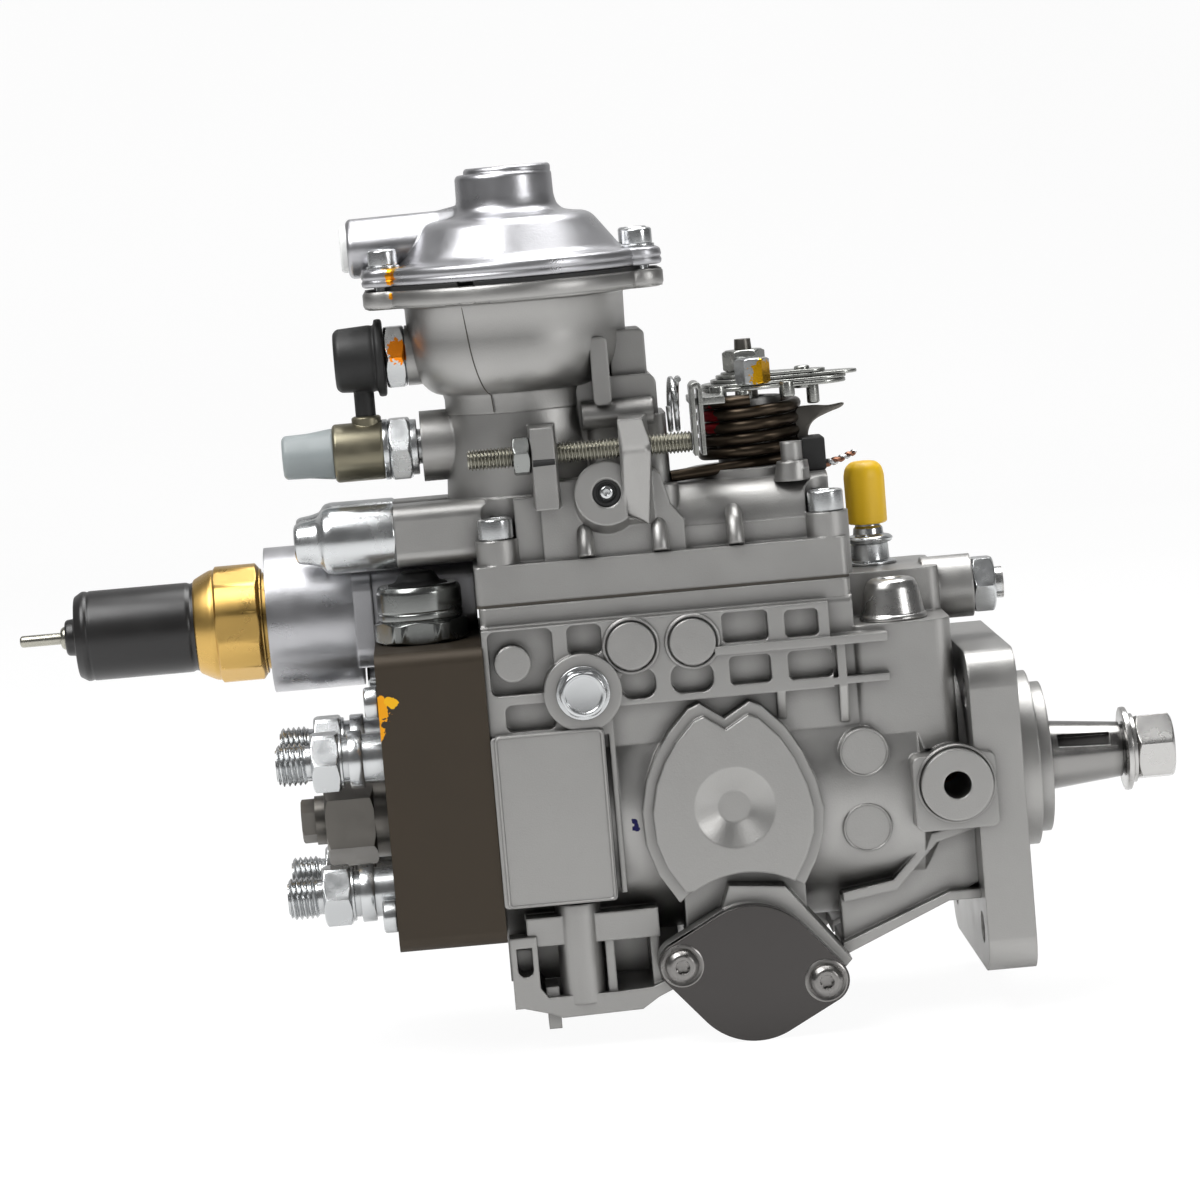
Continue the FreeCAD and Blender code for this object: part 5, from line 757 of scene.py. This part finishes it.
class PUMP_OT_screws(bpy.types.Operator):
    """Socket screws of the covers, recessed screws of the timing covers, pivot screws and the shaft's lock nut"""
    bl_idname = "pump.screws"
    bl_label = "Screws"

    def execute(self, context):
        shells, stars = [], []
        for x in (-139.8, -47.6):
            for y in (-27.0, 27.0):
                seat = (x, y, COVER_TOP)
                shells += [head_screw(5.0, 6.0, 5.0, seat, "z", knurl=0.05),
                           turned([(0, 0), (0, 3), (26, 3), (26, 0)], seat, "-z", 36)]
        for angle in SCREW_ANGLES:
            x, y = BOOST_X + SCREW_CIRCLE * np.cos(np.radians(angle)), SCREW_CIRCLE * np.sin(np.radians(angle))
            shells += [turned([(0, 0), (0, 4.7), (0.9, 4.7), (0.9, 0)], (x, y, 155.2), "z", 48, corner=0.2),
                       head_screw(4.2, 4.6, 4.0, (x, y, 156.0), "z", knurl=0.05),
                       turned([(0, 0), (0, 2.5), (11, 2.5), (11, 0)], (x, y, 155.2), "-z", 24)]
        lean, reach = np.radians(-11.0), 20.1
        for side, axis in ((-1, "-y"), (1, "y")):
            for s in (-reach, reach):
                seat = (TIMING_COVER[0] + s * np.cos(lean), side * 48, TIMING_COVER[1] + s * np.sin(lean))
                stars += [star_screw(4.6, 2.6, seat, axis),
                          turned([(-0.2, 0), (-0.2, 6.0), (0.25, 6.0), (0.45, 5.6), (0.2, 5.0), (0.2, 0)], seat, axis,
                                 48)]
            for y in (-33.0, 33.0):
                z = 36.0 if side < 0 else -24.0
                shells.append(head_screw(4.6, 4.0, 4.0, (-176.5, y, z), "-x"))
        piece("cover_screws", shells, "housing", finish("zinc"), ("screw_set",))
        piece("timing_cover_screws", stars, "housing", finish("worn_steel"))
        pivots = []
        for side, axis in ((-1, "-y"), (1, "y")):
            pivots += [turned([(3, 0), (3, 3), (41.5, 3), (41.5, 0)], GOVERNOR_PIVOT, axis, 36),
                       turned([(42.0, 0), (42.0, 7.5), (43.0, 7.5), (43.0, 6.6), (46.2, 6.6), (46.9, 6.0), (46.9, 5.2),
                               (46.5, 4.9), (46.5, 0)], GOVERNOR_PIVOT, axis, corner=0.35, waist=self.pivot_head)]
        piece("pivot_screws", pivots, "housing", finish("zinc"))
        nut = [hexagon(-6, 0.5, 15.0, GOVERNOR_SHAFT, "x", bore=4.5),
               turned([(-1, 0), (-1, 4.5), (2.4, 4.5), (3.0, 3.9), (3.0, 0)], GOVERNOR_SHAFT, "x", 48)]
        piece("governor_shaft_nut", nut, "housing", finish("zinc"))
        return {"FINISHED"}

    def pivot_head(self, a, phi, r):
        """Six flats, 12.2 mm across, above the head's collar."""
        return np.where((a > 43.05) & (r > 5.9), np.minimum(r, hex_radius(phi, 12.2)), r)


class PUMP_OT_boost_cap(bpy.types.Operator):
    """Upper cover of the boost compensator: stepped knob, low cone, rolled rim, air port"""
    bl_idname = "pump.boost_cap"
    bl_label = "Boost cap"

    def execute(self, context):
        base, centre = CAP_BASE, (BOOST_X, 0, 0)
        profile = [(base, 0), (base, 38.6), (base + 0.4, 39.1), (base + 1.5, 39.3), (base + 2.1, 38.8),
                   (base + 2.7, 39.3), (base + 4.4, 39.0), (base + 5.0, 38.0), (base + 5.2, 34.0), (155.8, 32.0),
                   (156.8, 30.9), (165.0, 24.7), (166.1, 23.4), (166.8, 21.6), (167.2, 18.0), (167.8, 15.9),
                   (169.4, 14.4), (172.0, 13.8), (178.2, 13.7), (179.1, 13.1), (179.3, 12.0), (179.3, 0)]
        shells = [turned(profile, centre, "z", 240, corner=0.9, waist=rim_waist),
                  turned([(178.6, 0), (178.6, 12.3), (180.2, 12.3), (180.9, 11.7), (180.9, 10.4), (180.2, 9.4),
                          (179.7, 9.0), (179.7, 0)], (BOOST_X + 1.2, 0, 0), "z", 96, corner=0.4)]
        port = [(0, 0), (0, 7.1), (0.9, 8.0), (26, 8.3), (31, 9.2), (36, 11.0), (40, 13.0), (40, 0)]
        shells.append(turned(port, AIR_PORT, "x", 60, corner=0.8,
                             waist=lambda a, phi, r: r * (1 + 0.05 * np.cos(4 * phi))))
        piece("boost_cap_shell", shells, "housing", finish("smooth_cast"), ("boost_cap",), angle=50)
        plug = [turned([(-2.0, 0), (-2.0, 5.9), (-1.5, 6.5), (0.4, 6.6), (0.4, 0)], AIR_PORT, "x", 48, corner=0.3)]
        piece("air_port_plug", plug, "housing", finish("clear_plug"))
        # The cup below: a wall with a quarter-round foot, and the lower lip of the rim.
        t = np.radians(np.linspace(0, 90, 14))
        foot = np.stack([133.5 - 15.3 * np.cos(t), 22.3 + 8.5 * np.sin(t)], 1)
        cup = np.concatenate([[(112.5, 21.9), (116.5, 21.9)], foot,
                              [(143.0, 31.0), (143.7, 31.6), (144.0, 33.0), (143.9, 37.8), (144.4, 38.9),
                               (145.3, 39.3), (148.3, 39.3), (149.0, 38.8), (149.2, 37.0), (149.2, 33.0), (144.6, 32.0),
                               (143.4, 30.0), (134.0, 29.6), (125.0, 25.0), (118.4, 21.0), (112.5, 20.9)]])
        piece("compensator_cup", [turned(cup, centre, "z", 240, waist=rim_waist, ring=True)], "housing",
              finish("cast"), angle=50)
        recast("governor_cover_casting", "governor_cover", cover_shape, "housing", finish("cast"))
        return {"FINISHED"}


class PUMP_OT_cold_start(bpy.types.Operator):
    """Brass hexagon, black heated sleeve and contact pin of the cold-start unit"""
    bl_idname = "pump.cold_start"
    bl_label = "Cold-start element"

    def execute(self, context):
        at = COLD_START
        brass = [hexagon(-222.6, -209.0, 32.5, at, "x", chamfer=0.75, steps=144, turn=30),
                 turned([(-228.4, 0), (-228.4, 12.9), (-228.0, 13.6), (-225.6, 14.9), (-223.4, 15.9), (-222.4, 16.0),
                         (-221.0, 15.6), (-221.0, 0)], at, "x", 96, corner=0.9),
                 turned([(-209.4, 0), (-209.4, 15.2), (-208.4, 15.2), (-208.4, 14.0), (-190, 14.0), (-190, 0)], at, "x",
                        corner=0.3)]
        piece("cold_start_brass", brass, "housing", finish("brass"), ("cold_start_element",))
        sleeve = [turned([(-226.9, 0), (-226.9, 12.3), (-228.2, 13.0), (-229.2, 12.5), (-230.2, 13.0), (-258.4, 13.0),
                          (-259.0, 12.7), (-259.6, 13.0), (-260.6, 13.0), (-262.9, 11.6), (-262.9, 6.2),
                          (-263.6, 5.4), (-265.6, 5.2), (-266.2, 4.6), (-266.2, 0)], at, "x", 96, corner=0.5)]
        piece("cold_start_sleeve", sleeve, "housing", finish("sleeve"))
        pin = [turned([(-265, 0), (-265, 1.7), (-278.9, 1.7), (-279.5, 1.1), (-279.5, 0)], at, "x", 36, corner=0.3),
               turned([(-265, 0), (-265, 3.4), (-266.8, 3.3), (-267.6, 2.6), (-267.6, 0)], at, "x", 36, corner=0.3)]
        piece("cold_start_pin", pin, "housing", finish("chromate"))
        return {"FINISHED"}


class PUMP_OT_solenoid(bpy.types.Operator):
    """Shut-off solenoid: hexagon, rolled can and rubber boot"""
    bl_idname = "pump.solenoid"
    bl_label = "Solenoid"

    def execute(self, context):
        at = SOLENOID
        shells = [hexagon(50.0, 56.6, 24.0, at, "z"),
                  turned([(48.8, 0), (48.8, 12.0), (50.0, 12.0), (50.0, 0)], at, "z", corner=0.2),
                  turned([(56.4, 0), (56.4, 11.4), (56.9, 12.0), (58.4, 12.0), (58.8, 11.7), (59.2, 12.0),
                          (64.6, 12.0), (66.2, 11.2), (66.4, 9.2), (65.8, 8.6), (65.8, 0)], at, "z", 96, corner=0.5)]
        piece("solenoid_can", shells, "housing", finish("dark_zinc"), ("solenoid_body",))
        boot = [turned([(65.6, 0), (65.6, 8.6), (66.3, 8.4), (67.2, 6.2), (68.6, 5.4), (69.5, 4.9), (69.9, 4.0),
                        (69.9, 0)], at, "z", corner=0.5)]
        piece("solenoid_boot", boot, "housing", finish("rubber"))
        return {"FINISHED"}


class PUMP_OT_lever(bpy.types.Operator):
    """Control lever plates with their nut, the folded bracket and the return spring"""
    bl_idname = "pump.lever"
    bl_label = "Control lever"

    def execute(self, context):
        x0 = THROTTLE_X
        low = np.concatenate([arc(x0, 0, 13, 60, 300, 30), arc(x0 + 20, -4, 8, -100, 80, 16)])
        top = np.concatenate([arc(x0, 0, 10, 70, 290, 26), arc(x0 + 26.5, -2.5, 5, -90, 90, 14)])
        shim = np.concatenate([arc(x0, 0, 8.4, 80, 280, 20), arc(x0 + 18, -3.5, 4.5, -90, 90, 12)])
        shells = [slab(low, 1.1, 0.25, (0, 0, 112.4), "z"), slab(low * [0.995, 0.97], 0.8, 0.2, (0, 0, 113.7), "z"),
                  slab(top, 1.0, 0.25, (0, 0, 114.6), "z"), slab(shim, 0.9, 0.2, (0, 0, 115.8), "z"),
                  hexagon(117.4, 123.5, 10.5, (x0, 0, 0), "z"),
                  turned([(116.4, 0), (116.4, 6.9), (117.4, 6.9), (117.4, 0)], (x0, 0, 0), "z", corner=0.2),
                  turned([(111.4, 0), (111.4, 2.6), (115.9, 2.6), (116.3, 2.2), (117.4, 2.2), (117.7, 1.8), (117.7, 0)],
                         (x0 + 16, -3, 0), "z", 36, corner=0.2)]
        for dx, y, foot, foot_r, shank, r, end in ((18.5, -4, 106.8, 1.4, 107.2, 1.8, 112.5),
                                                   (-8.6, -10.2, 109.4, 2.0, 110.0, 2.4, 114.2),
                                                   (10.8, -10.4, 109.6, 1.9, 110.1, 2.2, 114.0),
                                                   (-1.2, -12.0, 109.8, 1.7, 110.2, 2.0, 112.5)):
            shells.append(turned([(foot, 0), (foot, foot_r), (shank, r), (end, r), (end, 0)], (x0 + dx, y, 0), "z", 36,
                                 corner=0.2))
        piece("control_lever_plates", shells, "throttle", finish("bright_plate"), ("throttle_lever",))
        clamp = [hexagon(114.0, 121.4, 8.6, (x0 + 1.4, -11.3, 0), "z")]
        piece("lever_clamp_screw", clamp, "throttle", finish("painted_zinc"))
        # Folded stop: a strip bent over at the top, seen on its edge, and the arm that carries it.
        fold = np.concatenate([[(-83.3, 97.2), (-83.3, 115.6)], arc(-81.65, 115.8, 1.65, 180, 0, 14),
                               [(-80.0, 97.2), (-81.2, 97.2)], arc(-81.65, 115.4, 0.45, 0, 180, 8), [(-82.1, 97.2)]])
        shells = [slab([(z, x) for x, z in fold], 13.0, 0.25, (0, -39, 0), "y"),
                  slab([(-83.0, -30), (-73.4, -30), (-73.4, -6), (-83.0, -6)], 2.0, 0.3, (0, 0, 110.5), "z")]
        piece("folded_stop", shells, "throttle", finish("bright_plate"), ("lever_bracket",))
        coils = helix(13.5, 21.2, 5, (x0, 0, 90.4), "z", wire=1.7, start=-np.pi / 2, dead=0.5)
        tail = smooth_path([(-89.5, -15.6, 90.4), (-82.0, -15.0, 90.9), (-74.0, -14.2, 91.4)], 6)
        piece("lever_return_spring", [tube(np.concatenate([tail, coils[3:]]), sizes().wire / MM, 14)], "throttle",
              finish("spring"), ("return_spring",))
        return {"FINISHED"}


class PUMP_OT_stops(bpy.types.Operator):
    """Pieces beside the return spring: curved stop plate, black block, sealing wire and the stop lever's spring"""
    bl_idname = "pump.stops"
    bl_label = "Stops"

    def execute(self, context):
        horn = smooth_path([(-52.3, 90.0), (-52.6, 98.0), (-52.4, 105.4), (-48.0, 106.4), (-43.0, 106.0),
                            (-38.8, 106.4), (-39.4, 105.2), (-43.6, 103.8), (-47.4, 102.0), (-49.2, 99.0),
                            (-49.6, 94.0), (-49.2, 90.0)], 5)
        piece("curved_stop_plate", [slab([(z, x) for x, z in horn], 2.0, 0.3, (0, -6.5, 0), "y")], "housing",
              finish("dark_plate"))
        block = [(-52.0, -16.0), (-45.6, -16.0), (-45.6, -4.0), (-52.0, -4.0)]
        piece("black_stop_block", [slab(block, 9.4, 0.8, (0, 0, 88.6), "z")], "housing", finish("rubber"))
        small = helix(7.2, 5.2, 1.8, (-89.3, -8.0, 110.2), "x", wire=0.8, start=np.pi)
        piece("stop_lever_spring", [tube(small, 0.8, 10)], "housing", finish("zinc"))
        # Two strands twisted together, thinner towards the free end.
        wire = smooth_path([(-48.5, -14.0, 90.2), (-44.0, -13.4, 90.4), (-40.0, -13.0, 91.6), (-36.8, -13.0, 92.8)], 6)
        twist = np.linspace(0, 6 * np.pi, len(wire))
        turns = [wire + 0.55 * np.stack([0 * twist, np.cos(twist + k), np.sin(twist + k)], 1) for k in (0, np.pi)]
        thick = np.linspace(0.85, 0.4, len(wire))
        piece("sealing_wire", [tube(turns[0], thick, 10)], "housing", finish("copper"))
        piece("sealing_wire_tinned", [tube(turns[1], thick, 10)], "housing", finish("zinc"))
        return {"FINISHED"}


class PUMP_OT_cover_details(bpy.types.Operator):
    """Small forms of the castings: gussets, raised outlines, marker stripe, slotted plug, parting line; and the plug
    of the supply valve"""
    bl_idname = "pump.cover_details"
    bl_label = "Cover details"

    def execute(self, context):
        recast("throttle_shaft_stub", "throttle_shaft", stub_shape, "throttle", finish("dark_plate"))
        sweep = [(-33.0, 71.5), (-32.2, 74.5), (-30.4, 77.6), (-27.6, 79.6), (-24.0, 80.4)]
        ribs = [tube(smooth_path([(x, y, z) for y, z in sweep], 8), 2.3, 24) for x in (-115.3, -94.6, -73.6)]
        piece("flange_gussets", ribs, "housing", finish("cast"))
        # Thin raised lines of the casting: around the rear pad, the round pads and the lock screw's boss.
        lines = [tube(loop(x, y, z, r), wire, 10) for x, y, z, r, wire in
                 ((-105.5, -40.3, 46.5, 7.5, 0.55), (-88.4, -40.3, 46.2, 7.3, 0.55), (-43.4, -38.8, 11.0, 6.5, 0.35),
                  (-44.0, -38.8, -10.2, 6.5, 0.35), (-138.5, -39.4, 44.2, 4.8, 0.35), (-19.2, -47.0, 1.1, 10.6, 0.5))]
        corners = np.concatenate([arc(-143.9, -21.9, 1.2, 180, 270, 6), arc(-116.9, -21.9, 1.2, 270, 360, 6),
                                  arc(-116.9, 23.2, 1.2, 0, 90, 6), arc(-143.9, 23.2, 1.2, 90, 180, 6)])
        frame_line = np.stack([corners[:, 0], np.full(len(corners), -42.5), corners[:, 1]], 1)
        lines.append(tube(np.concatenate([frame_line, frame_line[:2]]), 0.45, 10))
        piece("cast_outlines", lines, "housing", finish("cast"))
        stripe = [(98.0, -128.1), (99.9, -128.0), (99.8, -122.0), (98.2, -122.0)]
        piece("marker_stripe", [slab(stripe, 0.06, 0.02, (0, -39.05, 0), "y")], "housing", finish("rubber"))
        # The plug in the boss behind the idle screw: a dark ring with two slots, and a bright pin.
        at = (-108.4, 0, 88.8)
        plug = [turned([(26, 0), (26, 4.3), (33.0, 4.3), (33.4, 3.9), (33.4, 3.0), (32.4, 2.8), (32.4, 0)], at, "-y",
                       48, corner=0.15)]
        for side in (-1, 1):
            plug.append(turned([(32, 0), (32, 0.9), (33.2, 0.9), (33.2, 0)], (at[0] + side * 4.7, 0, at[2]), "-y", 20))
        piece("boss_plug_ring", plug, "housing", finish("rubber"))
        ball = [turned([(31, 0), (31, 2.3), (32.6, 2.3), (33.3, 1.6), (33.5, 0.9), (33.2, 0.7), (33.2, 0)], at, "-y",
                       40, corner=0.2)]
        piece("boss_plug_pin", ball, "housing", finish("zinc"))
        # The parting line runs down the cup's wall, round its foot and on to the neck.
        z = np.linspace(143.2, 113.0, 40)
        t = np.arccos(np.clip((133.5 - z) / 15.3, 0, 1))
        r = np.where(z > 133.5, 30.85, 22.3 + 8.5 * np.sin(t)) + 0.05
        phi = np.radians(np.linspace(241.3, 248.0, len(z)))
        seam = np.stack([BOOST_X + r * np.cos(phi), r * np.sin(phi), z], 1)
        piece("cup_parting_line", [tube(seam, 0.14, 8)], "housing", finish("gasket"))
        valve = [turned([(45.9, 0), (45.9, 9.2), (46.5, 9.6), (47.3, 9.3), (47.7, 8.8), (55.0, 7.4), (56.7, 6.7),
                         (57.4, 5.6), (57.5, 3.0), (56.9, 2.6), (56.9, 0)], (-31.0, -25, 0), "z", 96, corner=0.4),
                 turned([(31, 0), (31, 6.9), (46.2, 6.9), (46.2, 0)], (-31.6, -25, 0), "z", 48)]
        piece("supply_valve_plug", valve, "housing", finish("steel"), ("pressure_valve_body",))
        return {"FINISHED"}


class PUMP_OT_fittings(bpy.types.Operator):
    """Fuel inlet with its dust cap, return union, nipples and the rubber elbow"""
    bl_idname = "pump.fittings"
    bl_label = "Fittings"

    def execute(self, context):
        at, z0 = INLET, INLET_SEAT
        inlet = [turned([(z0 - 10, 0), (z0 - 10, 5.0), (z0, 5.0), (z0, 7.5), (z0 + 0.8, 7.5), (z0 + 1.2, 5.6),
                         (z0 + 6.0, 5.4), (z0 + 6.4, 6.6), (z0 + 7.4, 7.0), (z0 + 8.2, 6.2), (z0 + 8.6, 4.4),
                         (z0 + 10.5, 4.2), (z0 + 11, 3.6), (z0 + 22, 3.4), (z0 + 22, 0)], at, "z", corner=0.3)]
        piece("fuel_inlet", inlet, "housing", finish("zinc"), ("hose_fittings",))
        cap = [turned([(70.0, 3.7), (70.0, 5.2), (70.5, 5.7), (84.0, 5.8), (86.4, 5.2), (87.9, 3.6), (88.2, 0),
                       (86.4, 0), (84, 3.7)], at, "z", 72, corner=0.9,
                      waist=lambda a, phi, r: r * (1 + 0.012 * np.cos(8 * phi)))]
        piece("dust_cap", cap, "housing", finish("cap"), ("inlet_dust_cap",))
        union = [turned([(-183.5, 0), (-183.5, 7.6), (-182.8, 8.3), (-169.6, 8.3), (-168.4, 7.4), (-167.9, 7.2),
                         (-167.9, 0)], RETURN_UNION, "x", corner=0.4),
                 turned([(106, 0), (106, 4.2), (113.5, 4.2), (114, 3.6), (114, 0)], (ELBOW_X, 0, 0), "z", 48,
                        corner=0.3)]
        piece("return_union", union, "housing", finish("olive"))
        nipples = [hexagon(-167.6, -161.4, 17.0, RETURN_UNION, "x"),
                   turned([(-169.3, 0), (-169.3, 8.6), (-167.7, 8.6), (-167.7, 0)], RETURN_UNION, "x", corner=0.3),
                   turned([(-161.5, 0), (-161.5, 7.9), (-159.6, 7.9), (-159.6, 5.0), (-152, 5.0), (-152, 0)],
                          RETURN_UNION, "x", corner=0.3),
                   hexagon(-166.6, -160.8, 17.0, ELBOW, "x"),
                   turned([(-160.9, 0), (-160.9, 7.6), (-160.4, 7.6), (-160.4, 4.0), (-152, 4.0), (-152, 0)],
                          ELBOW, "x", corner=0.3)]
        piece("nipple_hexagons", nipples, "housing", finish("painted_zinc"))
        plug = [turned([(-198, 0), (-198, 5.4), (-197.2, 6.3), (-190.5, 6.5), (-184.2, 7.3), (-183.4, 7.3),
                        (-183.4, 0)], RETURN_UNION, "x", 48, corner=0.6,
                       waist=lambda a, phi, r: r * (1 + 0.02 * np.cos(6 * phi)))]
        piece("grey_union_cap", plug, "housing", finish("grey"))
        elbow = [turned([(-181, 0), (-181, 7.8), (-179.8, 9.0), (-170.6, 9.5), (-169.4, 9.2), (-169.0, 10.8),
                         (-168.3, 11.0), (-167.1, 10.9), (-166.8, 10.2), (-166.8, 0)], ELBOW, "x", corner=0.8),
                 tube(smooth_path([(ELBOW_X, 0, 127), (ELBOW_X, 0, 120), (ELBOW_X, 0, 113.9)]), 2.9, 24)]
        piece("rubber_elbow", elbow, "housing", finish("rubber"), ("elbow_fitting",))
        return {"FINISHED"}


class PUMP_OT_shaft_end(bpy.types.Operator):
    """Shaft nut with its spring washer"""
    bl_idname = "pump.shaft_end"
    bl_label = "Shaft end"

    def execute(self, context):
        washer = [(33.7, 7.1), (33.7, 11.2), (34.0, 11.9), (34.7, 12.0), (35.4, 11.9), (35.7, 11.2), (35.9, 7.1)]
        split = [(36.0, 7.1), (36.0, 9.9), (37.0, 9.9), (37.0, 7.1)]
        shells = [grid(self.wavy(washer)),
                  turned(split + split[:1], SHAFT, "x"),
                  hexagon(37.2, 48.0, 17.5, SHAFT, "x", turn=12),
                  turned([(46.9, 0), (46.9, 7.0), (48.0, 7.0), (48.0, 0)], SHAFT, "x", corner=0.4)]
        piece("shaft_nut_and_washer", shells, "shaft", finish("steel"), ("shaft_nut",))
        return {"FINISHED"}

    def wavy(self, profile):
        """A washer whose rim leans out and back, by 0.03 cos 2 phi of its width, so that it looks sprung."""
        phi = around(72)
        a, r = spun(np.asarray(profile + profile[:1], float), 72)
        return polar(a + 0.03 * (r - profile[0][1]) * np.cos(2 * phi), r, phi, SHAFT, "x")


class PUMP_PT_panel(bpy.types.Panel):
    """Lists the pump's pieces and their settings"""
    bl_idname = "PUMP_PT_panel"
    bl_label = "Injection pump"
    bl_space_type = "VIEW_3D"
    bl_region_type = "UI"
    bl_category = "Pump"

    def draw(self, context):
        for group in (context.scene.pump_stage, context.scene.pump_finishes, context.scene.pump_sizes):
            box = self.layout.box()
            for key in type(group).__annotations__:
                box.prop(group, key)
        for step in STEPS:
            self.layout.operator(step.bl_idname)


STEPS = (PUMP_OT_stage, PUMP_OT_finishes, PUMP_OT_outlets, PUMP_OT_adjusters, PUMP_OT_screws, PUMP_OT_boost_cap,
         PUMP_OT_cold_start, PUMP_OT_solenoid, PUMP_OT_lever, PUMP_OT_stops, PUMP_OT_cover_details,
         PUMP_OT_fittings, PUMP_OT_shaft_end)
CLASSES = (PumpStageSettings, PumpFinishSettings, PumpSizeSettings) + STEPS + (PUMP_PT_panel,)


def register():
    for cls in CLASSES:
        bpy.utils.register_class(cls)
    bpy.types.Scene.pump_stage = PointerProperty(type=PumpStageSettings)
    bpy.types.Scene.pump_finishes = PointerProperty(type=PumpFinishSettings)
    bpy.types.Scene.pump_sizes = PointerProperty(type=PumpSizeSettings)


def unregister():
    for name in ("pump_sizes", "pump_finishes", "pump_stage"):
        delattr(bpy.types.Scene, name)
    for cls in reversed(CLASSES):
        bpy.utils.unregister_class(cls)


def main():
    """Registers the classes and makes every piece in order."""
    register()
    for step in STEPS:
        group, name = step.bl_idname.split(".")
        getattr(getattr(bpy.ops, group), name)()


if __name__ == "__main__":
    main()
